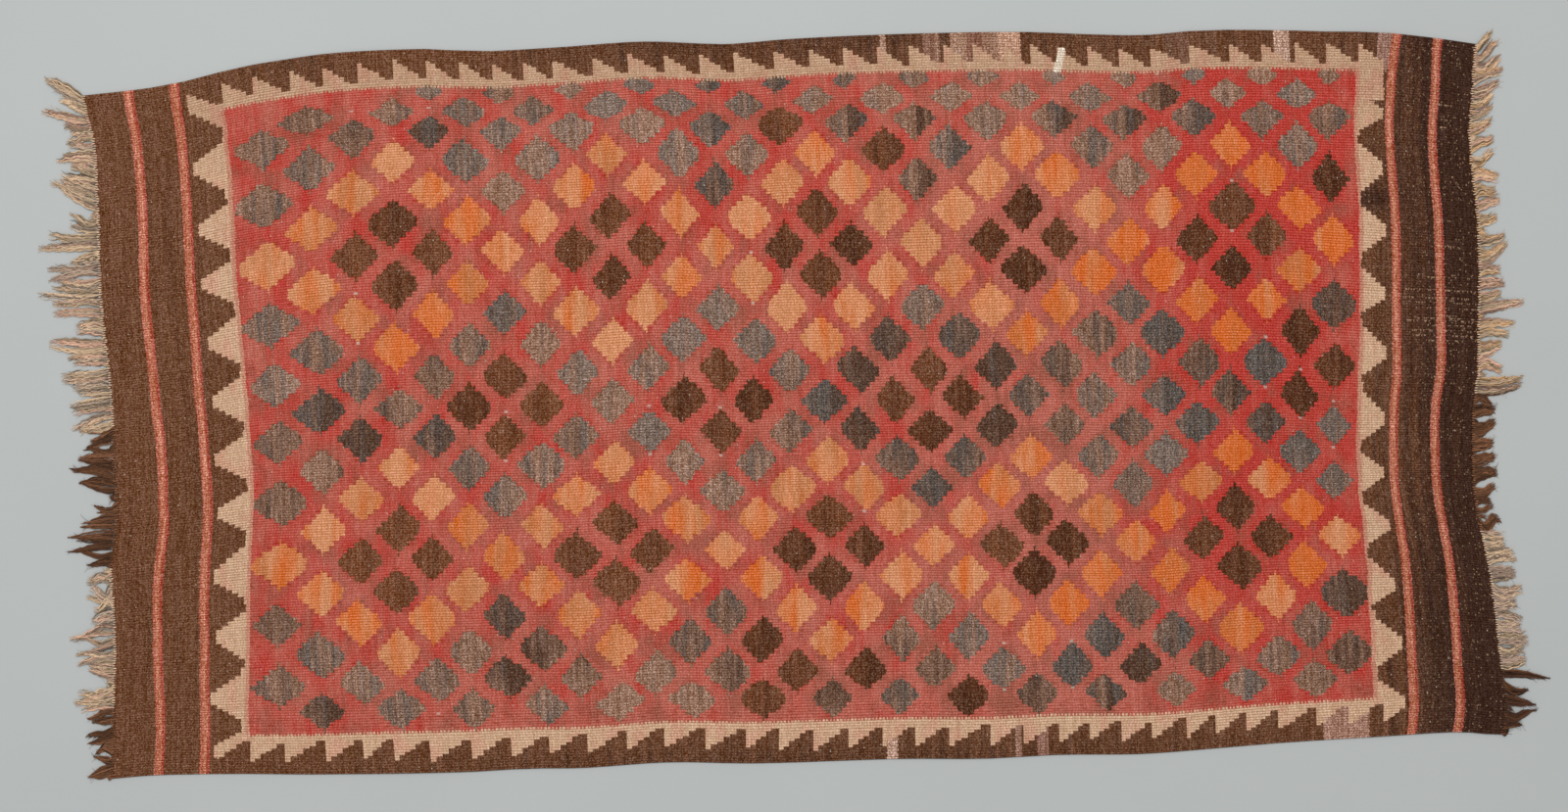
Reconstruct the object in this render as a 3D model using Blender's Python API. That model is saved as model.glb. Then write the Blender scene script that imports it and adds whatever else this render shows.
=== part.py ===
"""Kilim rug: a slit-woven wool rug that lies flat, with its warp ends left as a fringe at both ends.

Three pieces, as the weaver makes and finishes them:

    kilim_ground    the woven cloth, its two selvedges part of it
    fringe_left     the warp ends past the -X end, gathered in tufts on the knotted strip that holds them
    fringe_right    the same past the +X end

Frame, in metres: the origin is on the floor under the middle of the rug, +X runs along the warps,
+Y across them to the far selvedge, and +Z is up. The rug rests on its whole underside, at z = 0.
"""

import math
from collections import namedtuple

import bmesh
import bpy

MM = 0.001

# ---------------------------------------------------------------- driving sizes

CLOTH_LENGTH = 2.000        # nominal, between the two woven ends
CLOTH_WIDTH = 1.040         # nominal, between the two selvedges
CLOTH_THICKNESS = 3 * MM    # a packed weft-faced wool weave
RIM_ROUND = 0.9 * MM        # how far the cloth's rim is rounded over
PART_GAP = 0.3 * MM         # between the cloth and each strip of knots

STRIP_WIDTH = 5 * MM        # the row of knots that closes a woven end
LOCK_PITCH = 6.5 * MM       # two knotted pairs of warp ends make one lock
LOCK_ROOT_WIDTH = 3.6 * MM
LOCK_TIP_WIDTH = 2.0 * MM
LOCK_TIP_PITCH = 3.4 * MM   # the locks of a tuft draw together at its tip
LOCK_CLEARANCE = 0.8 * MM   # the least room left between neighbouring locks
LOCK_TIP_HEIGHT = 1.6 * MM
OUTER_LOCK_CUT = 0.16       # a tuft's outer locks are shorter by this share
LOCK_STEPS = 3              # straight stretches in a lock
LEAN_START = 0.55           # share of a lock's lean that it takes evenly, the rest grows to the tip
SPREAD_ROUNDS = 40          # passes in which neighbouring locks are leaned apart

SELVEDGE_STEPS = 96         # straight stretches in each selvedge
END_STEPS = 48              # straight stretches in each woven end

# ---------------------------------------------------------------- the cloth's uneven edges

# A hand-woven edge wanders from its nominal straight line. "percent" is the place along the edge and
# "drift" is how far, in mm, the edge lies towards +Y (selvedges) or +X (ends) of that line.
Wander = namedtuple("Wander", "percent drift")

FAR_SELVEDGE = (            # +Y side, percent from the -X end
    Wander(0, -42), Wander(5, -34), Wander(8, -24), Wander(11, -10), Wander(15, 1),
    Wander(18, 7), Wander(25, 8), Wander(28, 2), Wander(34, 4), Wander(40, 8),
    Wander(46, 0), Wander(50, 4), Wander(58, 6), Wander(67, 3), Wander(72, -4),
    Wander(76, -8), Wander(80, -4), Wander(86, -8), Wander(89, -12), Wander(93, -16),
    Wander(97, -27), Wander(100, -38),
)
NEAR_SELVEDGE = (           # -Y side, percent from the -X end
    Wander(0, 7), Wander(3, 10), Wander(9, 8), Wander(15, 3), Wander(26, -1),
    Wander(30, 1), Wander(34, -1), Wander(40, 3), Wander(46, -3), Wander(57, -4),
    Wander(63, -8), Wander(68, -6), Wander(74, -9), Wander(79, -5), Wander(84, 0),
    Wander(91, 4), Wander(97, 7), Wander(99, 2), Wander(100, 1),
)
LEFT_END = (                # -X end, percent from the near selvedge
    Wander(0, -7), Wander(5, -2), Wander(14, 2), Wander(19, 6), Wander(25, 5),
    Wander(31, 4), Wander(34, 9), Wander(39, 16), Wander(45, 13), Wander(51, 14),
    Wander(57, 12), Wander(65, 6), Wander(71, 2), Wander(81, 3), Wander(91, 2),
    Wander(94, -1), Wander(97, -9), Wander(100, -13),
)
RIGHT_END = (               # +X end, percent from the near selvedge
    Wander(0, 11), Wander(4, 17), Wander(10, 13), Wander(16, 9), Wander(24, 1),
    Wander(30, -9), Wander(36, -17), Wander(44, -16), Wander(50, -12), Wander(53, -6),
    Wander(61, -2), Wander(67, 1), Wander(75, 2), Wander(81, -3), Wander(87, -6),
    Wander(92, 0), Wander(98, 5), Wander(100, 9),
)

# ---------------------------------------------------------------- the fringe's tufts

# One row for each tuft, in mm: "root" is its place across the rug, "reach" how far it runs out past
# the woven end, "lean" how far its tip lies to +Y of its root, and "width" what it takes of the end.
Tuft = namedtuple("Tuft", "root reach lean width")

LEFT_TUFTS = (
    Tuft(470, 46, 29, 12), Tuft(456, 34, 13, 15), Tuft(442, 68, 14, 12), Tuft(426, 37, 1, 17),
    Tuft(408, 35, 1, 18), Tuft(389, 49, 2, 19), Tuft(369, 35, 10, 20), Tuft(347, 45, 15, 21),
    Tuft(322, 62, 30, 27), Tuft(288, 37, 8, 19), Tuft(272, 71, 5, 12), Tuft(259, 74, 2, 13),
    Tuft(243, 36, -6, 15), Tuft(224, 65, -2, 21), Tuft(202, 71, 2, 22), Tuft(179, 80, 6, 22),
    Tuft(162, 73, 3, 11), Tuft(140, 36, 1, 26), Tuft(116, 80, 3, 17), Tuft(97, 52, -2, 20),
    Tuft(72, 68, -6, 20), Tuft(51, 55, 1, 20), Tuft(31, 59, -6, 18), Tuft(6, 57, -13, 21),
    Tuft(-16, 35, -9, 20), Tuft(-44, 51, -2, 26), Tuft(-69, 56, 5, 22), Tuft(-92, 46, 9, 20),
    Tuft(-124, 29, 2, 16), Tuft(-142, 52, -2, 18), Tuft(-163, 59, -1, 19), Tuft(-181, 58, -1, 16),
    Tuft(-196, 37, -6, 13), Tuft(-223, 31, 2, 18), Tuft(-247, 35, 0, 16), Tuft(-260, 24, -1, 10),
    Tuft(-278, 32, -10, 22), Tuft(-302, 58, -9, 23), Tuft(-327, 51, -10, 24), Tuft(-353, 39, 5, 21),
    Tuft(-386, 49, -13, 15), Tuft(-402, 54, -5, 15), Tuft(-421, 34, -7, 20), Tuft(-447, 37, -12, 21),
    Tuft(-475, 26, 2, 30), Tuft(-499, 33, -10, 13),
)
RIGHT_TUFTS = (
    Tuft(475, 22, 22, 13), Tuft(461, 33, 20, 15), Tuft(445, 36, 8, 16), Tuft(429, 41, 9, 16),
    Tuft(411, 38, 8, 16), Tuft(395, 32, 7, 16), Tuft(379, 32, 7, 16), Tuft(360, 32, 5, 20),
    Tuft(332, 33, 11, 16), Tuft(315, 32, 1, 16), Tuft(290, 38, -4, 17), Tuft(265, 29, 1, 16),
    Tuft(246, 34, 7, 18), Tuft(223, 26, 3, 20), Tuft(196, 36, 2, 14), Tuft(174, 43, 11, 20),
    Tuft(152, 28, -3, 18), Tuft(134, 37, -2, 17), Tuft(115, 29, 0, 16), Tuft(97, 60, 3, 19),
    Tuft(76, 55, 1, 19), Tuft(59, 41, 6, 15), Tuft(40, 30, 3, 22), Tuft(15, 33, -1, 17),
    Tuft(-14, 64, 1, 23), Tuft(-34, 26, -7, 14), Tuft(-51, 28, -4, 19), Tuft(-77, 30, 3, 21),
    Tuft(-100, 27, 0, 20), Tuft(-122, 30, -1, 20), Tuft(-146, 34, 3, 22), Tuft(-167, 29, 3, 16),
    Tuft(-187, 22, -1, 23), Tuft(-212, 27, -5, 20), Tuft(-236, 29, -1, 25), Tuft(-262, 38, 0, 22),
    Tuft(-286, 36, -1, 22), Tuft(-307, 40, -6, 17), Tuft(-328, 33, -3, 21), Tuft(-352, 37, -6, 23),
    Tuft(-377, 40, -4, 20), Tuft(-397, 36, 0, 17), Tuft(-415, 35, 1, 15), Tuft(-431, 63, -10, 13),
    Tuft(-448, 32, -7, 18), Tuft(-469, 45, -7, 18), Tuft(-488, 42, -3, 16), Tuft(-505, 26, -4, 13),
)

# ---------------------------------------------------------------- colours (linear RGB)

WOVEN_RED = (0.45, 0.07, 0.05, 1.0)
UNDYED_WOOL = (0.47, 0.34, 0.22, 1.0)
WOOL_ROUGHNESS = 0.95


# ---------------------------------------------------------------- the cloth's outline

def smooth_drift(wander, share):
    """Drift in metres at a share (0 to 1) of an edge, on a smooth curve through the table's rows."""
    stations = [row.percent / 100 for row in wander]
    drifts = [row.drift * MM for row in wander]
    last = len(wander) - 1
    left = max(index for index in range(last) if stations[index] <= share or index == 0)

    def slope(index):
        before, after = max(index - 1, 0), min(index + 1, last)
        return (drifts[after] - drifts[before]) / (stations[after] - stations[before])

    span = stations[left + 1] - stations[left]
    t = (share - stations[left]) / span
    return (
        drifts[left] * (2 * t**3 - 3 * t**2 + 1)
        + drifts[left + 1] * (3 * t**2 - 2 * t**3)
        + slope(left) * span * (t**3 - 2 * t**2 + t)
        + slope(left + 1) * span * (t**3 - t**2)
    )


def between(start, end, share):
    """The value at a share of the way from start to end."""
    return start + (end - start) * share


def selvedge_line(side):
    """Points (x, y) of one selvedge, from the -X end to the +X end. side is -1 near, +1 far."""
    wander = FAR_SELVEDGE if side > 0 else NEAR_SELVEDGE
    corner_share = 1.0 if side > 0 else 0.0
    start = -CLOTH_LENGTH / 2 + smooth_drift(LEFT_END, corner_share)
    end = CLOTH_LENGTH / 2 + smooth_drift(RIGHT_END, corner_share)
    shares = [step / SELVEDGE_STEPS for step in range(SELVEDGE_STEPS + 1)]
    return [
        (between(start, end, share), side * CLOTH_WIDTH / 2 + smooth_drift(wander, share))
        for share in shares
    ]


def end_line(side):
    """Points (x, y) of one woven end, from the near to the far selvedge. side is -1 left, +1 right."""
    wander = RIGHT_END if side > 0 else LEFT_END
    corner_share = 1.0 if side > 0 else 0.0
    start = -CLOTH_WIDTH / 2 + smooth_drift(NEAR_SELVEDGE, corner_share)
    end = CLOTH_WIDTH / 2 + smooth_drift(FAR_SELVEDGE, corner_share)
    shares = [step / END_STEPS for step in range(END_STEPS + 1)]
    return [
        (side * CLOTH_LENGTH / 2 + smooth_drift(wander, share), between(start, end, share))
        for share in shares
    ]


def cloth_outline():
    """The cloth's closed outline, anticlockwise from its near left corner, each corner once."""
    near = selvedge_line(-1)
    right = end_line(+1)
    far = selvedge_line(+1)[::-1]
    left = end_line(-1)[::-1]
    return near[:-1] + right[:-1] + far[:-1] + left[:-1]


def end_x(line, across):
    """x of a woven end at a place across the rug, on the straight stretches of its line."""
    for (x_0, y_0), (x_1, y_1) in zip(line, line[1:]):
        if across <= y_1:
            return between(x_0, x_1, (across - y_0) / (y_1 - y_0))
    return line[-1][0]


# ---------------------------------------------------------------- materials and objects

def wool(name, colour):
    """Matt wool of one colour."""
    material = bpy.data.materials.new(name)
    material.use_nodes = True
    shader = material.node_tree.nodes["Principled BSDF"]
    shader.inputs["Base Color"].default_value = colour
    shader.inputs["Roughness"].default_value = WOOL_ROUGHNESS
    shader.inputs["Metallic"].default_value = 0.0
    return material


def add_object(name, data, material, collection):
    """A named object in the rug's collection, with one material."""
    data.materials.append(material)
    piece = bpy.data.objects.new(name, data)
    collection.objects.link(piece)
    return piece


def make_cloth(collection, material):
    """The woven cloth: its outline filled, as thick as the weave, with a rounded rim."""
    curve = bpy.data.curves.new("kilim_ground", "CURVE")
    curve.dimensions = "2D"
    curve.fill_mode = "BOTH"
    curve.extrude = CLOTH_THICKNESS / 2 - RIM_ROUND
    curve.bevel_depth = RIM_ROUND
    curve.bevel_resolution = 1
    curve.offset = -RIM_ROUND
    outline = cloth_outline()
    spline = curve.splines.new("POLY")
    spline.points.add(len(outline) - 1)
    for point, (x, y) in zip(spline.points, outline):
        point.co = (x, y, 0.0, 1.0)
    spline.use_cyclic_u = True
    cloth = add_object("kilim_ground", curve, material, collection)
    cloth.location.z = CLOTH_THICKNESS / 2
    return cloth


# ---------------------------------------------------------------- the fringe

class Lock:
    """One lock of a tuft: where it is rooted in the strip, and the line it follows to its tip."""

    def __init__(self, tuft, place, line, side):
        """place runs from -1 to +1 across the tuft; line is the woven end, side its X direction."""
        count = lock_count(tuft)
        rank = place * (count - 1) / 2
        self.side = side
        self.root_y = tuft.root * MM + rank * (tuft.width * MM / count)
        self.root_x = end_x(line, self.root_y) + side * (PART_GAP + STRIP_WIDTH)
        reach = tuft.reach * MM * (1 - OUTER_LOCK_CUT * abs(place)) - STRIP_WIDTH
        self.run = side * reach
        self.lean = tuft.root * MM + tuft.lean * MM + rank * LOCK_TIP_PITCH - self.root_y

    def point(self, share):
        """Centre (x, y) at a share of the way to the tip."""
        bend = LEAN_START * share + (1 - LEAN_START) * share**2
        return self.root_x + self.run * share, self.root_y + self.lean * bend

    def share_at(self, x):
        """The share of the way to the tip at which the lock passes x."""
        return (x - self.root_x) / self.run

    def half_room(self, share):
        """Half the room that the lock takes along Y at a share of the way to the tip."""
        half_width = between(LOCK_ROOT_WIDTH, LOCK_TIP_WIDTH, share) / 2
        return half_width / abs(self.cross_direction(share)[1])

    def cross_direction(self, share):
        """Unit vector (x, y) across the lock, pointing to its +Y side."""
        bend_rate = LEAN_START + 2 * (1 - LEAN_START) * share
        along = (self.run, self.lean * bend_rate)
        length = math.hypot(*along)
        return -self.side * along[1] / length, self.side * along[0] / length


def lock_count(tuft):
    """How many locks a tuft has: as many as fit its width at the lock pitch, and at least two."""
    return max(2, round(tuft.width * MM / LOCK_PITCH))


def lean_apart(near, far):
    """Lean two neighbours apart wherever one crowds the other beside the shorter one's tip."""
    shorter = min(near, far, key=lambda lock: abs(lock.run))
    for step in range(1, 2 * LOCK_STEPS + 1):
        x = shorter.point(step / (2 * LOCK_STEPS))[0]
        near_share, far_share = near.share_at(x), far.share_at(x)
        room = near.half_room(near_share) + far.half_room(far_share) + LOCK_CLEARANCE
        crowding = room - (far.point(far_share)[1] - near.point(near_share)[1])
        if crowding > 0:
            near.lean -= crowding / 2
            far.lean += crowding / 2


def make_locks(tufts, line, side):
    """Every lock of one fringe, from the near to the far selvedge, none touching the next."""
    locks = []
    for tuft in tufts:
        count = lock_count(tuft)
        for number in range(count):
            place = 2 * number / (count - 1) - 1
            locks.append(Lock(tuft, place, line, side))
    locks.sort(key=lambda lock: lock.root_y)
    for _ in range(SPREAD_ROUNDS):
        for near, far in zip(locks, locks[1:]):
            lean_apart(near, far)
    return locks


def strip_stations(locks, line):
    """Places across the rug where the strip is divided: its two ends and both sides of each root."""
    stations = [line[0][1]]
    for lock in locks:
        stations += [lock.root_y - LOCK_ROOT_WIDTH / 2, lock.root_y + LOCK_ROOT_WIDTH / 2]
    stations.append(line[-1][1])
    return stations


def build_strip(mesh, stations, line, side):
    """The strip of knots: one cell between each two stations. Returns the outer face of each cell."""
    lower, upper = [], []
    for across in stations:
        inner = end_x(line, across) + side * PART_GAP
        outer = inner + side * STRIP_WIDTH
        lower.append([mesh.verts.new((x, across, 0.0)) for x in (inner, outer)])
        upper.append([mesh.verts.new((x, across, CLOTH_THICKNESS)) for x in (inner, outer)])
    outer_faces = []
    for index in range(len(stations) - 1):
        after = index + 1
        mesh.faces.new((lower[index][0], lower[index][1], lower[after][1], lower[after][0]))
        mesh.faces.new((upper[index][0], upper[index][1], upper[after][1], upper[after][0]))
        mesh.faces.new((lower[index][0], lower[after][0], upper[after][0], upper[index][0]))
        outer_faces.append(
            mesh.faces.new((lower[index][1], lower[after][1], upper[after][1], upper[index][1]))
        )
    for column in (0, -1):
        mesh.faces.new((*lower[column], *reversed(upper[column])))
    return outer_faces


def grow_lock(mesh, face, lock):
    """Extrude a root's outer face along its lock, tapering to the tip and level on the floor."""
    for step in range(1, LOCK_STEPS + 1):
        share = step / LOCK_STEPS
        x, y = lock.point(share)
        across_x, across_y = lock.cross_direction(share)
        half_width = between(LOCK_ROOT_WIDTH, LOCK_TIP_WIDTH, share) / 2
        height = between(CLOTH_THICKNESS, LOCK_TIP_HEIGHT, share)
        middle_y = face.calc_center_median().y
        middle_z = face.calc_center_median().z
        face = bmesh.ops.extrude_discrete_faces(mesh, faces=[face])["faces"][0]
        for vertex in face.verts:
            hand = 1 if vertex.co.y > middle_y else -1
            top = vertex.co.z > middle_z
            vertex.co = (
                x + hand * half_width * across_x,
                y + hand * half_width * across_y,
                height if top else 0.0,
            )


def make_fringe(name, tufts, side, collection, material):
    """One end's fringe: the strip of knots, and the locks that grow out of it."""
    line = end_line(side)
    locks = make_locks(tufts, line, side)
    mesh = bmesh.new()
    outer_faces = build_strip(mesh, strip_stations(locks, line), line, side)
    bmesh.ops.recalc_face_normals(mesh, faces=mesh.faces[:])
    for number, lock in enumerate(locks):
        grow_lock(mesh, outer_faces[2 * number + 1], lock)
    data = bpy.data.meshes.new(name)
    mesh.to_mesh(data)
    mesh.free()
    return add_object(name, data, material, collection)


# ---------------------------------------------------------------- the rug

def clear_scene():
    """Remove every object, so that the rug is the only thing in the file."""
    for leftover in list(bpy.data.objects):
        bpy.data.objects.remove(leftover, do_unlink=True)


def main():
    """Build the rug."""
    clear_scene()
    collection = bpy.data.collections.new("kilim_rug")
    bpy.context.scene.collection.children.link(collection)
    woven_wool = wool("woven_wool", WOVEN_RED)
    warp_wool = wool("warp_wool", UNDYED_WOOL)
    make_cloth(collection, woven_wool)
    make_fringe("fringe_left", LEFT_TUFTS, -1, collection, warp_wool)
    make_fringe("fringe_right", RIGHT_TUFTS, +1, collection, warp_wool)


main()
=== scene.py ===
"""Looks of a slit-woven kilim rug, lying flat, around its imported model.

The cloth is one mesh whose warp ribs are real ridges. Its pattern is charted in the weaver's own units,
warps across the rug and millimetres along it, and a material draws it from the cloth's woven coordinates, so
that the pattern wanders with the uneven cloth. The fringe is each warp's own end, opened into strands that
lie in the locks of its tufts.

Frame, in metres: +X runs along the warps, +Y across them to the far selvedge, +Z up. The floor is at z = 0.
"""

import logging
import math
from collections.abc import Callable
from dataclasses import dataclass, field
from enum import Enum
from functools import cached_property
from typing import NamedTuple

import bpy
import numpy as np
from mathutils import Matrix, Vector


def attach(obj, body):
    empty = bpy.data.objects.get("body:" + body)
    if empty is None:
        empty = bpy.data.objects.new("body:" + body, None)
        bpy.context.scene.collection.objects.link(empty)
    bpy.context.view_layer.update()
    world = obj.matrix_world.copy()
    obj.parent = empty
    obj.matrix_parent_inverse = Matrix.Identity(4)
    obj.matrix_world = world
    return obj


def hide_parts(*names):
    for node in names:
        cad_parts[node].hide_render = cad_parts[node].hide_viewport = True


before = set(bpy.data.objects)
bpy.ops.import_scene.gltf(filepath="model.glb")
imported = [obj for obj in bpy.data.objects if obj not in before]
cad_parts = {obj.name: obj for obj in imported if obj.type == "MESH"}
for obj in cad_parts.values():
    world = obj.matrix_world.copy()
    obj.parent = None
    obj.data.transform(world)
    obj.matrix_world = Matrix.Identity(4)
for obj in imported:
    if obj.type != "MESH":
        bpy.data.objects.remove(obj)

log = logging.getLogger("kilim_rug")

MM = 0.001
BODY = "root"
WOVEN_MAP = "OFBake"     # the cloth's woven coordinates


def linear(colour: str) -> tuple[float, float, float, float]:
    """Turn a colour to the linear values that a shader takes.

    Args:
        colour: An sRGB colour as six hex digits, such as "a8564a".

    Returns:
        Red, green, blue and alpha, from 0 to 1.
    """
    steps = [int(colour[place:place + 2], 16) / 255 for place in (0, 2, 4)]
    parts = [step / 12.92 if step <= 0.04045 else ((step + 0.055) / 1.055) ** 2.4 for step in steps]
    return parts[0], parts[1], parts[2], 1.0


# ---- nodes as arithmetic


def arithmetic(operation: str, other_first: bool = False) -> Callable[..., "Signal"]:
    """Make an operator of Signal, which adds one Math node.

    Args:
        operation: The node's operation.
        other_first: Whether the other value comes before the signal.

    Returns:
        The operator, as a method.
    """
    def method(signal: "Signal", *others: "Signal | float") -> "Signal":
        """Add the node for these values."""
        values = (*others, signal) if other_first else (signal, *others)
        return signal.nodes.add("ShaderNodeMath", values, operation=operation)
    return method


class Signal:
    """A value that changes over a surface: one output of a node.

    Arithmetic on it adds Math nodes. A comparison is a mask, 1 where it holds and else 0. Of two masks, their
    product is where both hold and the most of them where either does, and 1 minus a mask is where it doesn't.
    """

    __add__ = arithmetic("ADD")
    __radd__ = arithmetic("ADD", other_first=True)
    __sub__ = arithmetic("SUBTRACT")
    __rsub__ = arithmetic("SUBTRACT", other_first=True)
    __mul__ = arithmetic("MULTIPLY")
    __truediv__ = arithmetic("DIVIDE")
    __mod__ = arithmetic("FLOORED_MODULO")
    __pow__ = arithmetic("POWER")
    __rpow__ = arithmetic("POWER", other_first=True)
    __gt__ = arithmetic("GREATER_THAN")
    __lt__ = arithmetic("LESS_THAN")
    __abs__ = arithmetic("ABSOLUTE")
    __floor__ = arithmetic("FLOOR")
    least = arithmetic("MINIMUM")
    most = arithmetic("MAXIMUM")

    def __init__(self, nodes: "Nodes", socket: bpy.types.NodeSocket) -> None:
        """Wrap an output socket of a node tree."""
        self.nodes = nodes
        self.socket = socket

    def also(self, output: int | str) -> "Signal":
        """Another output of the same node."""
        return Signal(self.nodes, self.socket.node.outputs[output])

    def rise(self, start: float = 0.0, end: float = 1.0) -> "Signal":
        """A soft mask that rises from 0 at start to 1 at end, or falls if end is the lower."""
        ends = (0.0, 1.0) if start < end else (1.0, 0.0)
        links = (self, min(start, end), max(start, end), *ends)
        return self.nodes.add("ShaderNodeMapRange", links, interpolation_type="SMOOTHSTEP")


class Nodes:
    """A new material's node tree."""

    def __init__(self, name: str) -> None:
        """Make the material, with an empty tree."""
        self.material = bpy.data.materials.new(name)
        self.material.use_nodes = True
        self.tree = self.material.node_tree
        self.tree.nodes.clear()

    def add(self, kind: str, links: tuple | dict = (), output: int | str = 0, **settings) -> Signal:
        """Add one node, set it and link it.

        Args:
            kind: The node's type, as Blender names it.
            links: What each input takes, in order or by name or number: a Signal, or a plain value.
            output: The output that is wanted.
            **settings: The node's own settings.

        Returns:
            The wanted output.
        """
        node = self.tree.nodes.new(kind)
        for name, value in settings.items():
            setattr(node, name, value)
        for place, value in links.items() if isinstance(links, dict) else enumerate(links):
            if isinstance(value, Signal):
                self.tree.links.new(value.socket, node.inputs[place])
            else:
                node.inputs[place].default_value = value
        return Signal(self, node.outputs[output] if node.outputs else None)

    def laid(self, colour: Signal | str, layers: list[tuple[Signal, Signal | str]]) -> Signal:
        """Lay colours over one another. Each is a signal, or an sRGB colour as six hex digits.

        Args:
            colour: The lowest colour.
            layers: (mask, colour) for each layer, the lowest first.

        Returns:
            The colour that shows.
        """
        for mask, above in layers:
            below, above = (linear(each) if isinstance(each, str) else each for each in (colour, above))
            colour = self.add("ShaderNodeMix", {0: mask, 6: below, 7: above}, output=2, data_type="RGBA")
        return colour


# ---- what the pieces share


@dataclass(frozen=True)
class MattWool:
    """Hand-spun wool: matt, with a soft fibre sheen at grazing angles."""

    roughness: float = 0.95
    sheen: float = 0.04
    sheen_roughness: float = 0.5
    specular: float = 0.1
    relief_height: float = 0.35 * MM

    def cover(self, piece: bpy.types.Object, nodes: Nodes, colour: Signal, height: Signal) -> None:
        """Finish a material as this wool, and give it to a piece.

        Args:
            piece: The piece.
            nodes: The material's nodes.
            colour: The wool's colour.
            height: Its relief, from 0 to 1.
        """
        links = {"Height": height, "Distance": self.relief_height}
        shader = nodes.add("ShaderNodeBsdfPrincipled", {
            "Base Color": colour,
            "Roughness": self.roughness,
            "Specular IOR Level": self.specular,
            "Sheen Weight": self.sheen,
            "Sheen Roughness": self.sheen_roughness,
            "Normal": nodes.add("ShaderNodeBump", links, output="Normal"),
        })
        nodes.add("ShaderNodeOutputMaterial", (shader,))
        piece.data.materials.clear()
        piece.data.materials.append(nodes.material)


def smooth_piece(name: str, points: np.ndarray, faces: list[tuple]) -> bpy.types.Object:
    """Make a smooth mesh object.

    Args:
        name: Its name.
        points: Its points, in metres.
        faces: Its faces, as the numbers of their points.

    Returns:
        The object, linked to the scene.
    """
    mesh = bpy.data.meshes.new(name)
    mesh.from_pydata(points.tolist(), [], faces)
    mesh.update()
    mesh.shade_smooth()
    piece = bpy.data.objects.new(name, mesh)
    bpy.context.scene.collection.objects.link(piece)
    return piece


def carry(piece: bpy.types.Object, name: str, values: np.ndarray, kind: str = "FLOAT") -> None:
    """Let a piece's points carry numbers or colours for its material to read.

    Args:
        piece: The piece.
        name: The name by which the material reads them.
        values: One for each point.
        kind: The type of attribute that holds them.
    """
    field_name = "value" if kind == "FLOAT" else "color"
    numbers = piece.data.attributes.new(name, kind, "POINT").data
    numbers.foreach_set(field_name, values.astype(np.float32).ravel())


# ---- the weaver's chart


@dataclass(frozen=True)
class Weave:
    """The ground weave. Warps lie under ribs that run along X, and the wefts are packed over them."""

    warps: int = 284
    half_length: float = 1000.0     # mm, nominal, from the middle to a woven end
    float_length: float = 1.6       # mm along a warp that one weft float takes
    bead_length: float = 4.2        # mm along a warp that a bead of light takes: floats are too fine to show
    hair_length: float = 1.5        # mm along a warp over which the spun hairs keep their shade
    weft_span: int = 15             # warps across which one weft keeps its shade


@dataclass(frozen=True)
class Lattice:
    """The stepped diamonds of the red field. A column is a place along X, and a row one across the warps."""

    column_width: float = 50.3      # mm
    even_column: int = 4            # the columns left of this one grow wider towards the end
    even_column_at: float = -516.8  # mm
    widening: float = 4.875         # mm that each of them is wider than the last
    row_height: float = 12.0        # warps
    middle: float = 142.0           # warps from the near selvedge
    half_width: float = 0.59        # columns, of a diamond at its widest
    first_step: float = -0.03       # columns that the first step takes beyond the others
    step: float = 0.15              # columns that each step takes
    step_rise: float = 2.0          # warps that each step takes
    wander: float = 0.05            # columns by which a diamond strays from its place
    uneven: float = 0.11            # columns by which its width strays
    uneven_step: float = 0.05       # columns by which each step's width strays
    slant: float = 0.02             # columns by which the edge leans over one step
    slipped: float = 2.2            # warps by which a quarter's steps lie higher or lower
    ragged: float = 0.03            # columns by which each warp's turn of weft strays
    last_column: int = 30
    last_row: int = 10              # either way from the middle
    one_more_from: int = 3          # column from which the far side has one row more
    cramped: float = 0.22           # columns that the diamonds of that row lack
    pressed_from: tuple[float, float] = (33.5, 250.5)   # warps outside which rows are pressed together
    pressed: tuple[float, float] = (0.22, 0.5)      # by these shares, at the near side and the far one
    slits: tuple[float, float] = (2.9, 9.6)         # warps from a diamond's middle with slits between
    slit: tuple[float, float] = (0.02, 0.12)        # columns within its edge and past it in a slit's shadow
    tip: tuple[float, float] = (9.2, 10.2)          # warps from its middle where a pale knot may lie
    tip_half_width: float = 0.05    # columns, of that knot
    no_tip: float = 0.94            # share of the diamonds without one
    unmended: float = 0.86          # share whose halves are of one wool
    repeat: float = 6.0             # columns from one cluster of browns to the next
    outer_row: float = 5.0          # row of the outer clusters' middle, either way
    clustered: tuple[float, float] = (4.0, 20.0)    # columns between which the middle row has clusters too
    odd_browns: tuple[tuple[int, int], ...] = (     # out of their cluster, by column and row
        (13, -10), (14, -9), (16, -9), (19, -10), (13, -8), (17, 8), (14, 9), (29, 0), (29, 2), (30, 7),
        (30, 1),
    )
    odd_slates: tuple[tuple[int, int], ...] = (     # darker than the greys about them
        (12, 7), (26, 1), (28, 1), (24, -1), (22, -9), (24, -9), (20, 1),
    )

    def number(self, column: "Signal | float", row: "Signal | float") -> "Signal | float":
        """A whole number that only this diamond has."""
        return column * 64.0 + row


Run = tuple[tuple[float, float], ...]       # (warps from the near selvedge, mm), in order


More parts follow.
